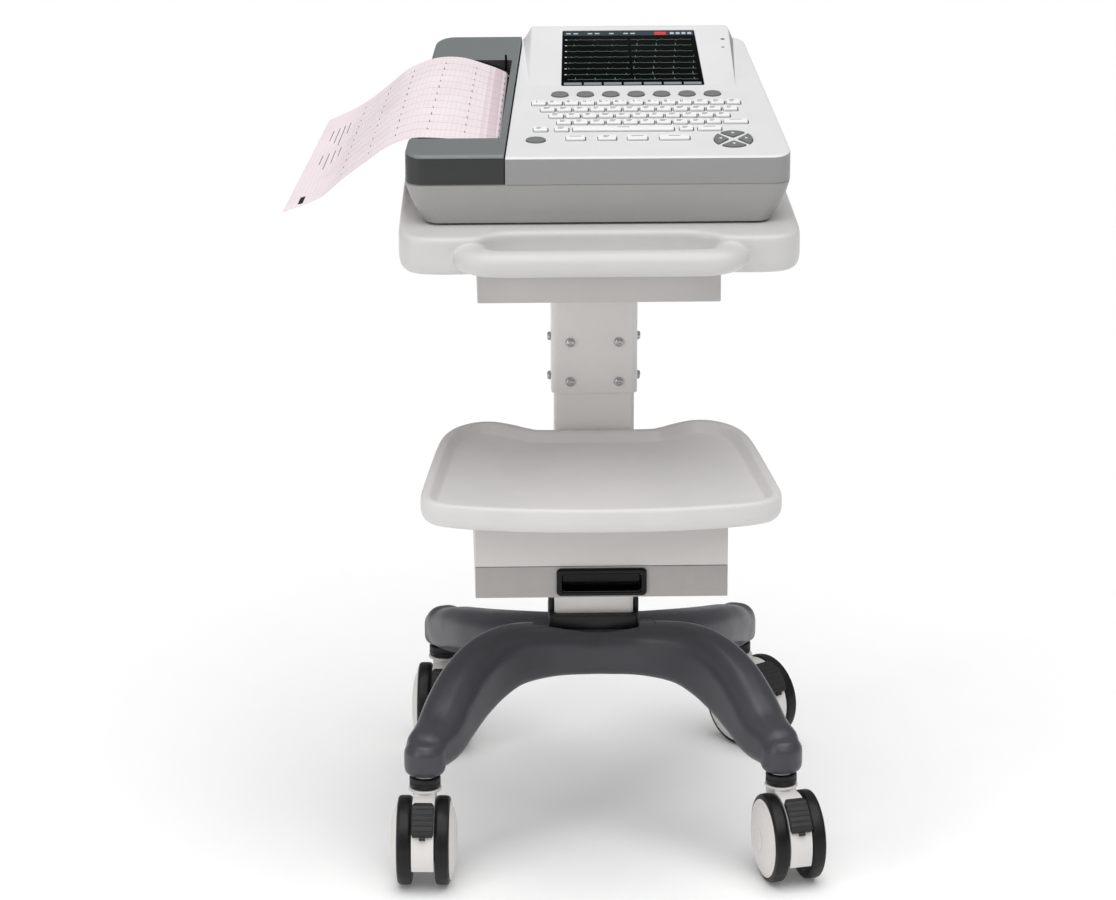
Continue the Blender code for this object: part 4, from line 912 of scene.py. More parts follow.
def skin(outer, holes, rings, height, under):
    """A moulded lid: the surface over `outer` less `holes`, creased along `rings`, closed underneath.

    Each ring is a list of (x, y, z); outer and holes are among them. `under` gives the inner surface's z."""
    points, edges, z = [], [], []
    for ring in rings:
        start = len(points)
        points += [Vector((q[0], q[1])) for q in ring]
        z += [q[2] for q in ring]
        edges += [(start + i, start + (i + 1) % len(ring)) for i in range(len(ring))]
    verts, _, faces, origin, _, _ = delaunay_2d_cdt(points, edges, [], 0, 1e-4)
    flat_outer = [(q[0], q[1]) for q in outer]
    flat_holes = [[(q[0], q[1]) for q in hole] for hole in holes]
    boxes = [(min(q[0] for q in h), max(q[0] for q in h), min(q[1] for q in h), max(q[1] for q in h)) for h in flat_holes]
    keep = []
    for face in faces:
        c = (sum(verts[i].x for i in face) / 3, sum(verts[i].y for i in face) / 3)
        if not inside(c, flat_outer):
            continue
        if any(b[0] < c[0] < b[1] and b[2] < c[1] < b[3] and inside(c, h) for b, h in zip(boxes, flat_holes)):
            continue
        keep.append(list(face))
    tops = [(v.x, v.y, z[origin[i][0]] if origin[i] else height(v.x, v.y)) for i, v in enumerate(verts)]
    lows = [(x, y, min(under(x, y), t - 0.3)) for x, y, t in tops]
    n = len(tops)
    count = {}
    for face in keep:
        for a, b in zip(face, face[1:] + face[:1]):
            count[(a, b)] = count.get((a, b), 0) + 1
    rim = [(a, b) for a, b in count if (b, a) not in count]
    shape = keep + [[i + n for i in face[::-1]] for face in keep] + [[b, a, a + n, b + n] for a, b in rim]
    used = sorted({i for face in shape for i in face})
    index = {v: i for i, v in enumerate(used)}
    both = tops + lows
    return [both[i] for i in used], [[index[i] for i in face] for face in shape]


def paint_side_shade(obj, mat, slope=0.42):
    """Upright outer walls take a darker copy of the material as painted shade, split from the top along its edge."""
    obj.data.materials.append(mat)
    index = len(obj.data.materials) - 1
    for face in obj.data.polygons:
        if abs(face.normal.z) < slope:
            face.material_index = index
    return obj


def weighted(obj):
    """Flat faces keep flat shading beside their small fillets."""
    mod = obj.modifiers.new("weighted", "WEIGHTED_NORMAL")
    mod.keep_sharp = True
    mod.weight = 60
    return apply_modifiers(obj, None)


def shell_loop(d, seam_gap=0.4, r_rear=20.0):
    y0, y1 = ECG_FRONT + d, ECG_BACK - d
    side = seam_gap + d * 0.28
    return rounded_polygon([(seam_x(y0) + side, y0), (right_x(y0) - d, y0), (right_x(y1) - d, y1), (seam_x(y1) + side, y1)],
                           [1.2, max(20 - d, 1), max(r_rear - d, 1), 1.2], 12)


SCREEN = rounded_polygon([(-36, 27.5), (124, 27.5), (118, 150), (-31, 150)], 2.0, 4)


def key_outline(a, b, y, grow=0.0):
    return box_outline(b - a + 2 * grow, KEY_HALF * 2 + 2 * grow, 2.0 + grow, 4, ((a + b) / 2, y))


# ---------------------------------------------------------------- top shell
FILLET = 2.8
rings, outer_ring = [], None
for k in range(6):
    a = math.pi / 2 * k / 5
    d, drop = FILLET * (1 - math.sin(a)), FILLET * (1 - math.cos(a))
    # k = 0 is the flat top's edge reversed, so walk from the wall inwards
    d, drop = FILLET * (1 - math.cos(a)), FILLET * (1 - math.sin(a))
    loop = [(x, y, panel_z(y) - drop) for x, y in shell_loop(d)]
    rings.append(loop)
    if k == 0:
        outer_ring = loop
inner_wall = [(x, y) for x, y in shell_loop(FILLET + 0.1)]

top_line = rounded_polygon([(-71.5, FOLD_Y), (158.3, FOLD_Y), (157, 160.4), (-66, 160.4)], [0.1, 0.1, 7, 3], 6)
line = np.array(top_line)
edge_dir = np.roll(line, -1, 0) - np.roll(line, 1, 0)
edge_dir /= np.linalg.norm(edge_dir, axis=1)[:, None]
out_dir = np.stack([edge_dir[:, 1], -edge_dir[:, 0]], 1)


def plateau_ring(push, t):
    """The plateau's wall: t runs from 0 at its top edge to 1 at its foot."""
    ring = []
    for (x, y), (nx, ny) in zip(top_line, out_dir):
        h = max(0.0, screen_z(y) - panel_z(y))
        m = min(1.0, h / 3.0)
        lean = 0.60 * max(0, -nx) + 0.40 * max(0, nx) + 0.10 * max(0, ny)
        r = push * m + lean * h * t
        if y < FOLD_Y + 0.4:
            r = 0.0
        ring.append((x + nx * r, y + ny * r, screen_z(y) * (1 - t) + panel_z(y) * t))
    return ring


rings += [plateau_ring(-1.3, 0), plateau_ring(-0.35, 0.02), plateau_ring(0.0, 0.09), plateau_ring(0.0, 0.95), plateau_ring(0.5, 1.0)]
plateau_top = [(x, y) for x, y, _ in plateau_ring(-1.3, 0)]


def shell_height(x, y):
    return screen_z(y) if y > FOLD_Y and inside((x, y), plateau_top) else panel_z(y)


holes = []


def window(outline_at, drop_steps, base):
    """A hole through the lid with a rolled edge; outline_at(grow) gives its outline."""
    for grow, drop in drop_steps:
        loop = [(x, y, base(y) - drop) for x, y in outline_at(grow)]
        rings.append(loop)
    holes.append(loop)


ROLLED = ((0.75, 0.0), (0.32, 0.12), (0.08, 0.4), (0.0, 0.8))
for y, row in KEY_ROWS:
    for a, b in row:
        window(lambda g, a=a, b=b, y=y: [(px + 0.3, py - 0.35) for px, py in key_outline(a, b, y, 0.75 + g)], ROLLED, panel_z)
for x in SOFT_KEYS_X:
    window(lambda g, x=x: oval(x, SOFT_KEYS_Y, 19.6 + 2 * g, 14.6 + 2 * g), ROLLED, panel_z)
window(lambda g: oval(*POWER_XY, 22.2 + 2 * g, 15.2 + 2 * g), ROLLED, panel_z)
for q in range(4):
    window(lambda g, q=q: sector(q, 0.55 + g * 0.8), ROLLED, panel_z)
window(lambda g: inset(SCREEN, -g), ROLLED, screen_z)


def shell_under(x, y):
    if not inside((x, y), inner_wall):
        return ECG_SPLIT
    return panel_z(y) - SHELL


top_shell = piece("top_shell_moulding", skin(outer_ring, holes, rings, shell_height, shell_under), M["shell"], None, sharp=38)
weighted(top_shell)
# the shell's upright walls take the darker grey copy: painted shade
paint_side_shade(top_shell, M["shell_painted_side_shade"])
settle(top_shell, "trolley", "top_shell")


# ---------------------------------------------------------------- keys
def crowned(outline, z_skirt, crown, at=panel_point, edge=0.9):
    cx, cy = np.mean([q[0] for q in outline]), np.mean([q[1] for q in outline])

    def scaled(px):
        w = max(q[0] for q in outline) - min(q[0] for q in outline)
        h = max(q[1] for q in outline) - min(q[1] for q in outline)
        sx, sy = 1 - 2 * px / w, 1 - 2 * px / h
        return [(cx + (x - cx) * sx, cy + (y - cy) * sy) for x, y in outline]
    levels = [(0, z_skirt), (0, crown - edge)]
    for k in range(1, 5):
        a = math.pi / 2 * k / 4
        levels.append((edge * (1 - math.cos(a)), crown - edge * (1 - math.sin(a))))
    levels += [(edge * 2.0, crown + 0.12), (edge * 3.4, crown + 0.2)]
    return loft([[at(x, y, z) for x, y in scaled(d)] for d, z in levels])


for i, x in enumerate(SOFT_KEYS_X):
    piece("soft_key_%d_cap" % (i + 1), crowned(oval(x, SOFT_KEYS_Y, 18.6, 13.6), -SHELL - 2, 1.9), M["key_grey"], "soft_%d" % (i + 1), "soft_key_%d" % (i + 1), sharp=60)
piece("power_key_cap", crowned(oval(*POWER_XY, 21.2, 14.2), -SHELL - 2, 1.9), M["key_grey"], "power", "power_key", sharp=60)
for q, name in enumerate(("right", "up", "left", "down")):
    piece("arrow_key_%s_cap" % name, crowned(sector(q), -SHELL - 2, 1.7, edge=0.7), M["key_grey"], "arrow_" + name, "arrow_key_" + name, sharp=60)
    a = math.radians(90 * q)
    tip = [(16.5, 0), (12.6, 2.4), (12.6, -2.4)]
    tip = [(ARROW_XY[0] + px * math.cos(a) - py * math.sin(a), ARROW_XY[1] + px * math.sin(a) + py * math.cos(a)) for px, py in tip]
    piece("arrow_key_%s_mark" % name, panel_prism(tip, 1.75, 1.98), M["shell"], "arrow_" + name, ())

mat_low, mat_top = -SHELL - 1.6, -SHELL - 0.2
KEY_TOP = 2.1
mat_line = rounded_polygon([(-38, -127), (103, -127), (103, -102), (139, -102), (139, -83.5), (169, -83.5), (169, -12.5), (-73, -12.5), (-73, -102), (-38, -102)], 2.5, 3)
parts = [panel_prism(inset(mat_line, 0.6), mat_low, mat_top)]
for y, row in KEY_ROWS:
    for a, b in row:
        parts.append(crowned(key_outline(a, b, y, -0.1), mat_top - 0.4, KEY_TOP, edge=0.7))
keypad = piece("alphanumeric_keypad_moulding", parts[0], M["key_white"], None)
cut(keypad, merge(*parts[1:]), "UNION", 55)
settle(keypad, "keypad", "alphanumeric_keypad")

SEGMENTS = {"0": "abcdef", "1": "bc", "2": "abged", "3": "abgcd", "4": "fgbc", "5": "afgcd", "6": "afgedc", "7": "abc", "8": "abcdefg", "9": "abcdfg"}
STROKES = {"a": (0, 1, 1, 1), "b": (1, 1, 1, 0.5), "c": (1, 0.5, 1, 0), "d": (0, 0, 1, 0), "e": (0, 0.5, 0, 0), "f": (0, 1, 0, 0.5), "g": (0, 0.5, 1, 0.5)}


def bar_2d(x0, y0, x1, y1, w):
    d = np.array([x1 - x0, y1 - y0], float)
    length = np.linalg.norm(d)
    d /= max(length, 1e-6)
    n = np.array([-d[1], d[0]]) * w / 2
    p, q = np.array([x0, y0]) - d * w / 2, np.array([x1, y1]) + d * w / 2
    return [tuple(p - n), tuple(q - n), tuple(q + n), tuple(p + n)]


marks = []
for r, (y, row) in enumerate(KEY_ROWS):
    for i, (a, b) in enumerate(row):
        cx = (a + b) / 2
        if r == 0 and i < 10:
            for s in SEGMENTS["1234567890"[i]]:
                x0, y0, x1, y1 = STROKES[s]
                marks.append(bar_2d(cx - 4.6 + x0 * 2.3, y - 1.6 + y0 * 4.0, cx - 4.6 + x1 * 2.3, y - 1.6 + y1 * 4.0, 0.75 if s in "adg" else 0.7))
            marks.append(bar_2d(cx + 2.4, y + 1.6, cx + 4.6, y + 1.6, 0.6))
        elif b - a > 20:
            marks.append(bar_2d(cx - 6, y + 1.2, cx + 6, y + 1.2, 1.0))
        else:
            turn = (i * 7 + r * 3) % 4
            marks.append(bar_2d(cx - 3.6, y + 1.7, cx + 0.6 + 0.6 * turn, y + 1.7, 1.2))
            marks.append(bar_2d(cx - 3.6, y - 1.3, cx - 0.8 + 0.5 * turn, y - 1.3, 1.2))
piece("keypad_marks", merge(*[panel_prism(m, KEY_TOP, KEY_TOP + 0.26) for m in marks]), M["legend"], "keypad", ())
# dark rings down in every key's gap, in the legend ink: painted shade along the keys' edges
gap_shade_rings = []
for y, row in KEY_ROWS:
    for a, b in row:
        outer_line, inner_line = key_outline(a, b, y, 0.38), key_outline(a, b, y, -0.02)
        gap_shade_rings.append(loft([[panel_point(px, py, lift) for px, py in line] for line, lift in ((outer_line, mat_top - 0.2), (outer_line, -0.55), (inner_line, -0.5), (inner_line, mat_top - 0.2))], closed=True))
piece("keypad_gap_shade_rings", merge(*gap_shade_rings), M["legend"], "keypad", ())

# ---------------------------------------------------------------- display
def glow(name, color, strength, rough=0.4):
    n = Nodes(name)
    shade = n.mix(n.spread(n.noise(1800, 2), 0, 0.35), color, tuple(c * 0.6 for c in color))
    n.link(shade, n.bsdf.inputs["Base Color"])
    n.link(shade, n.bsdf.inputs["Emission Color"])
    n.bsdf.inputs["Emission Strength"].default_value = strength
    n.link(n.spread(n.noise(60, 3), rough - 0.05, rough + 0.05), n.bsdf.inputs["Roughness"])
    return n.mat


M["lcd"] = plastic("screen_black", srgb("#050606"), 0.14, 0.01, 900, 0.0, coat=0.0, specular=0.05)
M["lcd_trace"] = glow("screen_trace", srgb("#5b6f68"), 0.35)
M["lcd_bar"] = glow("screen_bar", srgb("#2a3340"), 0.30)
M["lcd_foot"] = glow("screen_foot", srgb("#7f878c"), 0.25)
M["lcd_red"] = glow("screen_red", srgb("#c0342c"), 0.5)
M["lcd_light"] = glow("screen_light", srgb("#aab4b8"), 0.4)
lcd_rings = [[screen_point(x, y, z) for x, y in inset(SCREEN, 0.4 + d)] for d, z in ((0, -12), (0, -1.4), (0.25, -1.15), (0.8, -1.0))]
piece("lcd_panel", loft(lcd_rings), M["lcd"], "trolley", "lcd_module")


def lcd_xy(u, v):
    """The display's own coordinates, 0 to 1 from its lower left corner."""
    y = 29.6 + v * 118.4
    left = -34.6 + (y - 27.5) / 122.5 * 5.0
    rightmost = 122.6 - (y - 27.5) / 122.5 * 6.0
    return left + u * (rightmost - left), y


def lcd_box(u0, v0, u1, v1, low=-1.02, high=-0.86):
    return panel_prism([lcd_xy(u0, v0), lcd_xy(u1, v0), lcd_xy(u1, v1), lcd_xy(u0, v1)], low, high, screen_point)


def ribbon(points, width, at, low, high):
    """A thin raised line through (x, y) points."""
    p = np.array(points, float)
    t = np.gradient(p, axis=0)
    t /= np.maximum(np.linalg.norm(t, axis=1), 1e-9)[:, None]
    n = np.stack([-t[:, 1], t[:, 0]], 1) * width / 2
    sections = [[at(*(q - m), low), at(*(q + m), low), at(*(q + m), high), at(*(q - m), high)] for q, m in zip(p, n)]
    return loft(sections)


def beat(phase, tall):
    """One heart cycle: small rounded waves either side of a sharp spike."""
    v = 0.12 * math.exp(-((phase - 0.2) / 0.035) ** 2) + 0.22 * math.exp(-((phase - 0.66) / 0.06) ** 2)
    v -= 0.10 * math.exp(-((phase - 0.372) / 0.010) ** 2) + 0.2 * math.exp(-((phase - 0.432) / 0.012) ** 2)
    return v + tall * math.exp(-((phase - 0.4) / 0.012) ** 2)


traces, greens = [], []
for row in range(7):
    v0 = 0.845 - row * 0.108
    for half_side in (0, 1):
        u0, u1 = (0.035, 0.49) if half_side == 0 else (0.51, 0.975)
        pts = []
        tall = (0.45, 0.8, 0.55, 0.5, 0.6, 0.75, 0.9)[row] * (0.75 if half_side == 0 else 1.6)
        if row == 2 and half_side == 0 or row == 0 and half_side == 1:
            tall = -tall * 0.7
        beats = 3.2
        for u in np.arange(u0, u1, 0.0022):
            phase = ((u - u0) / (u1 - u0) * beats + 0.07 * row) % 1.0
            pts.append(lcd_xy(u, v0 + 0.045 * beat(phase, tall)))
        (greens if half_side else traces).append(ribbon(pts, 0.5, screen_point, -1.02, -0.84))
pts = []
for u in np.arange(0.035, 0.975, 0.0022):
    pts.append(lcd_xy(u, 0.105 + 0.05 * beat(((u - 0.035) / 0.94 * 6.6) % 1.0, 0.95)))
greens.append(ribbon(pts, 0.5, screen_point, -1.02, -0.84))
piece("lcd_traces_left", merge(*traces), M["lcd_trace"], "trolley", ())
piece("lcd_traces_right", merge(*greens), M["lcd_trace"], "trolley", ())
piece("lcd_top_bar", lcd_box(0.0, 0.925, 1.0, 0.998), M["lcd_bar"], "trolley", ())
piece("lcd_red_badge", lcd_box(0.70, 0.935, 0.79, 0.990, -1.0, -0.78), M["lcd_red"], "trolley", ())
foot_cells = [lcd_box(0.01 + i * 0.1425, 0.008, 0.135 + i * 0.1425, 0.052) for i in range(7)]
piece("lcd_foot_cells", merge(*foot_cells), M["lcd_foot"], "trolley", ())
small = [lcd_box(0.02 + i * 0.055, 0.952, 0.055 + i * 0.055, 0.972, -0.9, -0.76) for i in (0, 1, 3, 4, 6, 8, 9)]
small += [lcd_box(0.82 + i * 0.045, 0.945, 0.85 + i * 0.045, 0.98, -0.9, -0.76) for i in range(4)]
small += [lcd_box(0.012, v - 0.006, 0.028, v + 0.008) for v in (0.845, 0.737, 0.629, 0.521, 0.413, 0.305, 0.197)]
piece("lcd_small_marks", merge(*small), M["lcd_light"], "trolley", ())

# two indicator lamps beside the display
for i, (x, y, w) in enumerate(((149.5, 128, 5.0), (148.9, 110, 3.6))):
    piece("indicator_%d" % (i + 1), crowned(oval(x, y, w, w * 0.62, 24), -1.0, 0.25, at=screen_point, edge=0.35), M["legend"], "trolley", ())

# ---------------------------------------------------------------- lower case
def case_loop(sides, ends, r, n=12):
    y0, y1 = ECG_FRONT + ends, ECG_BACK - ends
    return rounded_polygon([(left_x(y0) + sides, y0), (right_x(y0) - sides, y0), (right_x(y1) - sides, y1), (left_x(y1) + sides, y1)], max(r, 1), n)


profile = [(25, 7.5, ECG_LOW - 1.8, 13), (23.2, 4.6, ECG_LOW - 1.7, 14), (21.7, 3.6, ECG_LOW - 1.1, 15), (20.6, 3.2, ECG_LOW + 0.4, 16), (17, 2.6, ECG_LOW + 5.5, 17), (13, 2.1, ECG_LOW + 11, 18), (9, 1.6, ECG_LOW + 18, 18), (4.4, 1.1, ECG_LOW + 28, 19), (0.7, 0.6, ECG_SPLIT - 3.4, 20),
           (0.5, 0.5, ECG_SPLIT - 2.0, 20), (0.75, 0.75, ECG_SPLIT - 0.9, 20), (1.3, 1.3, ECG_SPLIT - 0.4, 20), (SHELL, SHELL, ECG_SPLIT - 0.4, 17), (SHELL + 9, SHELL + 1.6, ECG_LOW + 18, 15), (SHELL + 21, SHELL + 4, ECG_LOW + 4, 11)]
# the lower case takes the grey copy of its white plastic: painted shade
lower = piece("lower_case_moulding", loft([[(x, y, z) for x, y in case_loop(dx, dy, r)] for dx, dy, z, r in profile]), M["case"], None)
cut(lower, block(92, 120, ECG_BACK - 12, ECG_BACK + 10, 762, 783))
for i, (x, y) in enumerate(((-170, -148), (170, -148), (-138, 130), (138, 130))):
    piece("case_foot_%d" % (i + 1), moved(revolve([(0, BOARD_TOP + 0.3), (5.6, BOARD_TOP + 0.3), (6.4, BOARD_TOP + 1.1), (6.5, BOARD_TOP + 2.6), (6.0, ECG_LOW + 0.6), (0, ECG_LOW + 0.6)], 32), x, y), M["tyre"], "trolley", ())
# cooling slots along the right side
for i in range(9):
    y = -60 + i * 12
    cut(lower, block(right_x(y) - 22, right_x(y) + 8, y - 2, y + 2, 765, 779))
weighted(lower)
settle(lower, "trolley", "lower_case")

# ---------------------------------------------------------------- recorder: casing, paper, roller, head
def casing_loop(d, seam_gap=0.4, n=12):
    y0, y1 = ECG_FRONT + d, ECG_BACK - d
    side = seam_gap + d * 0.3
    return rounded_polygon([(left_x(y0) + d, y0), (seam_x(y0) - side, y0), (seam_x(y1) - side, y1), (left_x(y1) + d, y1)], [max(20 - d, 1), 1.2, 1.2, max(24 - d, 1)], n)


CASE_FILLET = 4.5
rings = [[(x, y, ECG_SPLIT) for x, y in casing_loop(0.4)], [(x, y, ECG_SPLIT + 0.5) for x, y in casing_loop(0)]]
for k in range(7):
    a = math.pi / 2 * k / 6
    d, drop = CASE_FILLET * (1 - math.cos(a)), CASE_FILLET * (1 - math.sin(a))
    rings.append([(x, y, panel_z(y) + CASING_UP - drop) for x, y in casing_loop(d)])
casing = piece("recorder_casing_moulding", loft(rings), M["casing"], None)
pocket = rounded_polygon([(left_x(POCKET_Y[0]) + 7, POCKET_Y[0]), (seam_x(POCKET_Y[0]) - 8, POCKET_Y[0]), (seam_x(POCKET_Y[1]) - 8, POCKET_Y[1]), (left_x(POCKET_Y[1]) + 7, POCKET_Y[1])], [5, 3, 3, 5], 6)
FLOOR = 17.0
cut(casing, loft([[(x, y, panel_z(y) - FLOOR) for x, y in inset(pocket, 1.6)], [(x, y, panel_z(y) - FLOOR + 1.6) for x, y in pocket], [(x, y, panel_z(y) + CASING_UP - 0.9) for x, y in pocket],
                  [(x, y, panel_z(y) + CASING_UP - 0.2) for x, y in inset(pocket, -0.35)], [(x, y, panel_z(y) + CASING_UP + 0.6) for x, y in inset(pocket, -1.2)], [(x, y, panel_z(y) + 30) for x, y in inset(pocket, -1.2)]]))
tongue = rounded_polygon([(-250, -143), (-213.5, -143), (-211, -118), (-170, -118), (-170, POCKET_Y[1] - 1), (-250, POCKET_Y[1] - 1)], [0.1, 3.0, 13.0, 0.1, 0.1, 0.1], 10)
cut(casing, prism(tongue, lambda x, y: panel_z(y) - 12, lambda x, y: panel_z(y) + 30))
# latch notch beside the slot
cut(casing, prism(box_outline(2.6, 24, 1.0, 4, (-96.2, 98)), lambda x, y: panel_z(y) - FLOOR + 1, lambda x, y: panel_z(y) + 30))
cut(casing, prism([(x, y) for x, y in casing_loop(SHELL + 0.5, SHELL)], ECG_SPLIT - 20, lambda x, y: panel_z(y) - FLOOR - 2.6))
slot_line = [(seam_x(y) - dx, y) for y, dx in ((POCKET_Y[0] + 2, 22), (POCKET_Y[0] + 2, 10), (POCKET_Y[1] - 2, 10), (POCKET_Y[1] - 2, 22))]
cut(casing, prism(slot_line, lambda x, y: panel_z(y) - 26, lambda x, y: panel_z(y) - 8))
weighted(casing)
# the casing's upright walls take the dark copy: painted shade
paint_side_shade(casing, M["casing_side_painted_shade"], 0.35)
settle(casing, "recorder", "recorder_casing")

piece("platen_roller_turned", moved(revolve([(0, -104), (2.2, -104), (2.5, -103.6), (2.5, -100), (5.6, -100), (6.0, -99.4), (6.0, 85.4), (5.6, 86), (2.5, 86), (2.5, 89.6), (2.2, 90), (0, 90)], 48, "y"), -114.0, 0, 795.7),
      M["tyre"], "platen", "platen_roller")
head = piece("print_head_block", soft_prism(17, 194, 1.2, 782.5, 788.8, 0.5, 4, (-114.5, -7)), M["steel"], "trolley", "print_head")
fins = [block(-122, -107, y, y + 3.2, 780.2, 782.8) for y in range(-100, 86, 8)]
piece("print_head_fins", merge(*fins), M["steel"], "trolley", ())
# pressed carrier across the well that the head is screwed to, with a stiffening lip at each edge
carrier = piece("print_head_carrier", merge(block(-122.5, -106.5, -163.0, 161.6, 781.3, 782.4)), M["steel"], None)
for x0, x1 in ((-123.3, -122.1), (-106.9, -105.7)):
    cut(carrier, block(x0, x1, -158, 156, 781.3, 784.2), "UNION")
for y in (-150, -128, 112, 148):
    cut(carrier, moved(revolve([(0, 775), (2.1, 775), (2.1, 790), (0, 790)], 20), -114.5, y))
bevel(carrier, 0.25, 2, 40)
settle(carrier, "trolley", ())
for k, y in enumerate((-139, 130)):
    piece("print_head_screw_%d" % (k + 1), moved(revolve([(0, 782.3), (3.4, 782.3), (3.5, 782.8), (3.1, 783.9), (2.0, 784.6), (0.9, 784.8), (0.8, 784.1), (0, 784.1)], 28), -114.5, y), M["steel"], "trolley", ())


def paper_material(name="recording_paper"):
    """Thermal chart paper: a fine pink grid with a stronger line every fifth square, slightly mottled."""
    n = Nodes(name)
    uv = n.tree.nodes.new("ShaderNodeUVMap")
    uv.uv_map = "UVMap"
    parts = n.tree.nodes.new("ShaderNodeSeparateXYZ")
    n.link(uv.outputs["UV"], parts.inputs["Vector"])

    def lines(pitch, share):
        out = None
        for axis in ("X", "Y"):
            cell = n.math("FRACT", n.math("DIVIDE", parts.outputs[axis], pitch))
            hit = n.math("LESS_THAN", cell, share)
            out = hit if out is None else n.math("MAXIMUM", out, hit)
        return out
    base = n.mix(n.spread(n.noise(22, 3), 0, 1), srgb("#efe5e8"), srgb("#f6eef1"))
    base = n.mix(n.math("MULTIPLY", lines(1.0, 0.16), 0.40), base, srgb("#e6ccd3"))
    base = n.mix(n.math("MULTIPLY", lines(5.0, 0.07), 0.45), base, srgb("#dcaab6"))
    # bands across the strip beside the tear-off edge: printed stripes, darkened further as painted shade where the
    # strip curves down into the slot
    for middle, half_width, share in ((24.0, 5.0, 0.55), (33.5, 2.2, 0.30)):
        near = n.math("LESS_THAN", n.math("ABSOLUTE", n.math("SUBTRACT", parts.outputs["Y"], middle)), half_width)
        base = n.mix(n.math("MULTIPLY", near, share), base, srgb("#cfb4bf"))
    n.link(base, n.bsdf.inputs["Base Color"])
    n.link(n.spread(n.noise(40, 3), 0.55, 0.7), n.bsdf.inputs["Roughness"])
    n.link(n.bump(n.noise(2200, 2), 0.12, 0.00008), n.bsdf.inputs["Normal"])
    n.bsdf.inputs["Specular IOR Level"].default_value = 0.3
    return n.mat


M["paper"] = paper_material()
M["ink"] = plastic("chart_ink", srgb("#b3a9ae"), 0.7, 0.0, 1000, 0.05)
M["ink_dark"] = plastic("chart_ink_dark", srgb("#6f6a70"), 0.7, 0.0, 1000, 0.05)
M["ink_black"] = plastic("chart_black", srgb("#1b1a1c"), 0.7, 0.0, 1000, 0.05)
rear_line = smooth_curve([(-94.5, 92, 834), (-94.8, 92, 841)] + PAPER_REAR, 8)
front_line = smooth_curve([(-108.5, -117, 806), (-108.6, -117, 814)] + PAPER_FRONT, 8)
rear_line, front_line = np.array(rear_line), np.array(front_line)
PAPER_THICK, ACROSS = 0.32, 26


def paper_at(s, t):
    """A point and normal on the strip: s from the slot (0) to the free end (1), t from the rear edge (0) to the front (1)."""
    m = len(rear_line) - 1
    k = min(max(s, 0.0), 1.0) * m
    i = min(int(k), m - 1)
    w = k - i
    r = rear_line[i] * (1 - w) + rear_line[i + 1] * w
    f = front_line[i] * (1 - w) + front_line[i + 1] * w
    # the middle of the strip bellies a little between its edges
    belly = 3.2 * math.sin(math.pi * t) * min(1, s * 3) * math.sin(math.pi * min(1, s * 1.15))
    return r + (f - r) * t + np.array([0, 0, belly])


def paper_normal(s, t):
    e = 0.01
    a = paper_at(min(s + e, 1), t) - paper_at(max(s - e, 0), t)
    b = paper_at(s, min(t + e, 1)) - paper_at(s, max(t - e, 0))
    n = np.cross(b, a)
    n /= np.linalg.norm(n)
    return n if n[2] > 0 or s < 0.12 and n[0] > 0 else -n


steps_s = len(rear_line)
rings = []
for i in range(steps_s):
    s = i / (steps_s - 1)
    up_row, down_row = [], []
    for k in range(ACROSS + 1):
        t = k / ACROSS
        q, n = paper_at(s, t), paper_normal(s, t)
        if s < 0.1:
            n = np.array([1.0, 0, 0.15]) if i < 3 else n
            n = n / np.linalg.norm(n)
        up_row.append(q + n * PAPER_THICK / 2)
        down_row.append(q - n * PAPER_THICK / 2)
    rings.append(up_row + down_row[::-1])
paper = piece("paper_printout_strip", loft(rings), M["paper"], None, sharp=50)
uv = paper.data.uv_layers.new(name="UVMap")
count = len(rings[0])
lengths = np.r_[0, np.cumsum(np.linalg.norm(np.diff((rear_line + front_line) / 2, axis=0), axis=1))]
for loop in paper.data.loops:
    i, k = divmod(loop.vertex_index, count)
    k = k if k <= ACROSS else count - 1 - k
    uv.data[loop.index].uv = (k / ACROSS * 210.0, lengths[i])
settle(paper, "recorder", "paper_printout")


def paper_ribbon(points, width):
    """A printed line on the strip, through (s, t) points."""
    p = np.array([paper_at(*q) for q in points])
    n = np.array([paper_normal(*q) for q in points])
    t = np.gradient(p, axis=0)
    t /= np.linalg.norm(t, axis=1)[:, None]
    b = np.cross(n, t) * width / 2
    low, high = n * (PAPER_THICK / 2 - 0.05), n * (PAPER_THICK / 2 + 0.09)
    return loft([[q - c + l, q + c + l, q + c + h, q - c + h] for q, c, l, h in zip(p, b, low, high)])


ink, spikes = [], []
for lane in range(11):
    t0 = 0.10 + lane * 0.081
    tall = (0.7, 1.1, 0.6, 0.9, 1.3, 0.8, 1.0, 0.6, 1.2, 0.9, 0.7)[lane]
    pts = []
    for s in np.arange(0.16, 0.86, 0.004):
        phase = ((s - 0.16) / 0.70 * 5.6 + 0.1) % 1.0
        pts.append((s, t0 - 0.020 * beat(phase, tall)))
    ink.append(paper_ribbon(pts, 0.22))
    for k in range(6):
        s0 = 0.16 + (k + 0.3) / 5.6 * 0.70
        if s0 < 0.86:
            spikes.append(paper_ribbon([(s0 - 0.0012, t0 + 0.004), (s0 + 0.0012, t0 - 0.022 * tall)], 0.9))
piece_ink = piece("paper_traces", merge(*ink), M["ink"], "recorder", ())
piece_spikes = piece("paper_trace_spikes", merge(*spikes), M["ink_dark"], "recorder", ())
notes = []
for k in range(4):
    notes.append(paper_ribbon([(0.885 + 0.022 * k, 0.18), (0.885 + 0.022 * k, 0.30 + 0.05 * ((k * 5) % 3))], 1.0))
    notes.append(paper_ribbon([(0.885 + 0.022 * k, 0.46), (0.885 + 0.022 * k, 0.56 + 0.04 * ((k * 7) % 3))], 1.0))
piece_notes = piece("paper_notes", merge(*notes), M["ink_dark"], "recorder", ())
mark = [paper_ribbon([(0.955, 0.90), (0.955, 0.975)], 6.0)]
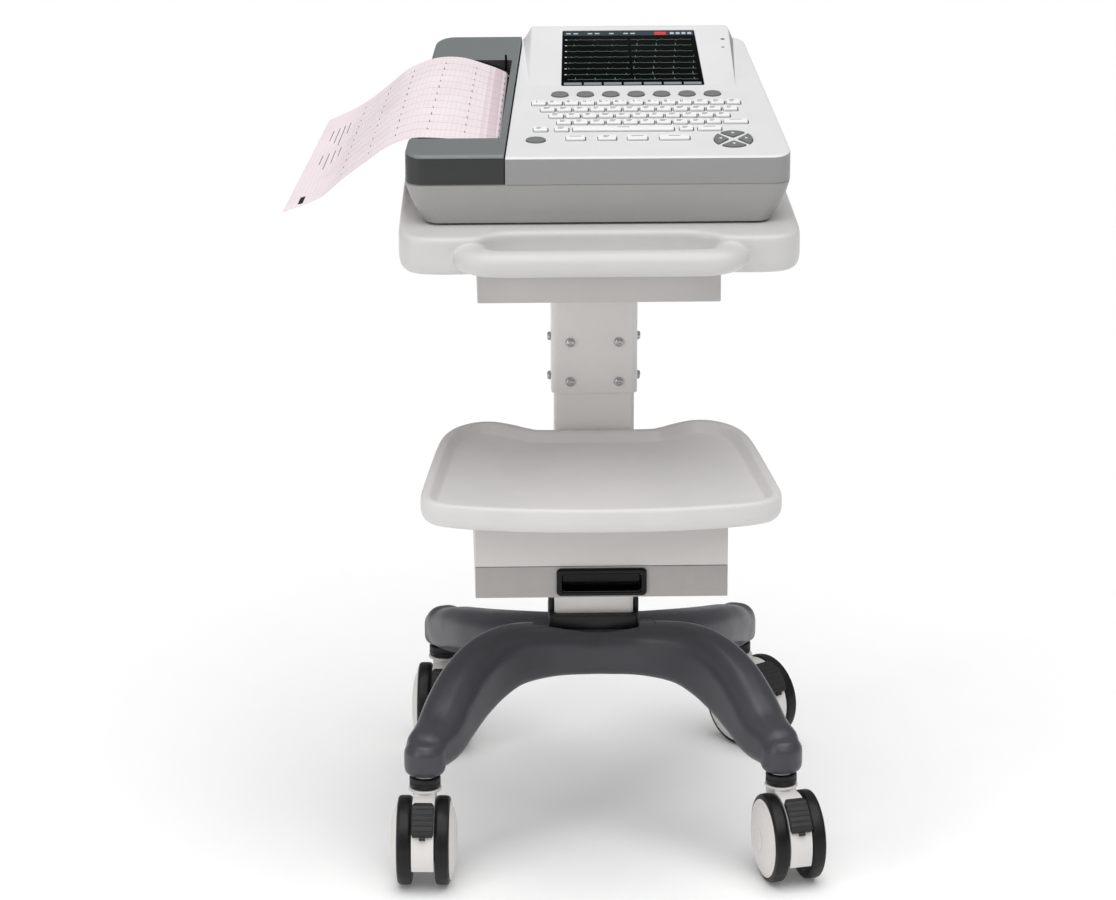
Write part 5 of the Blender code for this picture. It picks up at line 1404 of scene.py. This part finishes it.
piece_mark = piece("paper_end_mark", merge(*mark), M["ink_black"], "recorder", ())

# folded stack of unused paper, its edges showing as thin leaves
leaves = []
for k in range(17):
    z = 756 + k * 1.42
    shift = 0.5 * math.sin(k * 2.1)
    leaves.append(block(-158 + 0.8 + shift, -60 - 0.8 + shift, -116 + 0.3, 94 - 0.3, z, z + 1.05))
core = block(-156, -62, -115, 93, 756.2, 779.6)
piece("paper_stack_leaves", merge(core, *leaves), M["paper"], "trolley", "paper_stack")

# ---------------------------------------------------------------- main board
M["pcb"] = plastic("circuit_board", srgb("#0e4a26"), 0.36, 0.05, 900, 0.06, coat=0.3)
M["chip"] = plastic("chip_black", srgb("#1a1a1c"), 0.5, 0.1, 1400, 0.03)
M["gold"] = steel("contact_gold", (0.82, 0.62, 0.28), 0.25, (1, 1, 1))
board_pcb = piece("main_board_laminate", prism(box_outline(206, 272, 4, 5, (59, -4)), 770, 771.8), M["pcb"], None)
for hx, hy in ((-38, -134), (156, -134), (-38, 126), (156, 126)):
    cut(board_pcb, moved(revolve([(0, 760), (2, 760), (2, 780), (0, 780)], 20), hx, hy))
settle(board_pcb, "trolley", "main_board")
chips = [(-20, 20, -60, -20, 771.7, 775), (60, 110, 20, 60, 771.7, 779), (-30, 10, 60, 120, 771.7, 785), (120, 160, -110, -60, 771.7, 777)]
piece("board_chips", merge(*[soft_prism(b - a, d - c, 1.2, e, f, 0.4, 3, ((a + b) / 2, (c + d) / 2)) for a, b, c, d, e, f in chips]), M["chip"], "trolley", ())
legs = []
for a, b, c, d, e, f in chips[:2]:
    y = c + 2
    while y < d - 2:
        legs.append(block(a - 1.6, a + 0.2, y, y + 0.9, 771.7, 772.6))
        legs.append(block(b - 0.2, b + 1.6, y, y + 0.9, 771.7, 772.6))
        y += 2.2
piece("board_chip_legs", merge(*legs), M["gold"], "trolley", ())

# ---------------------------------------------------------------- finishes of the CAD nodes that stay in view
for name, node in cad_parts.items():
    if not node.hide_render:
        print("still CAD:", name)
        key = "black"
        node.data.materials.clear()
        node.data.materials.append(M[key])
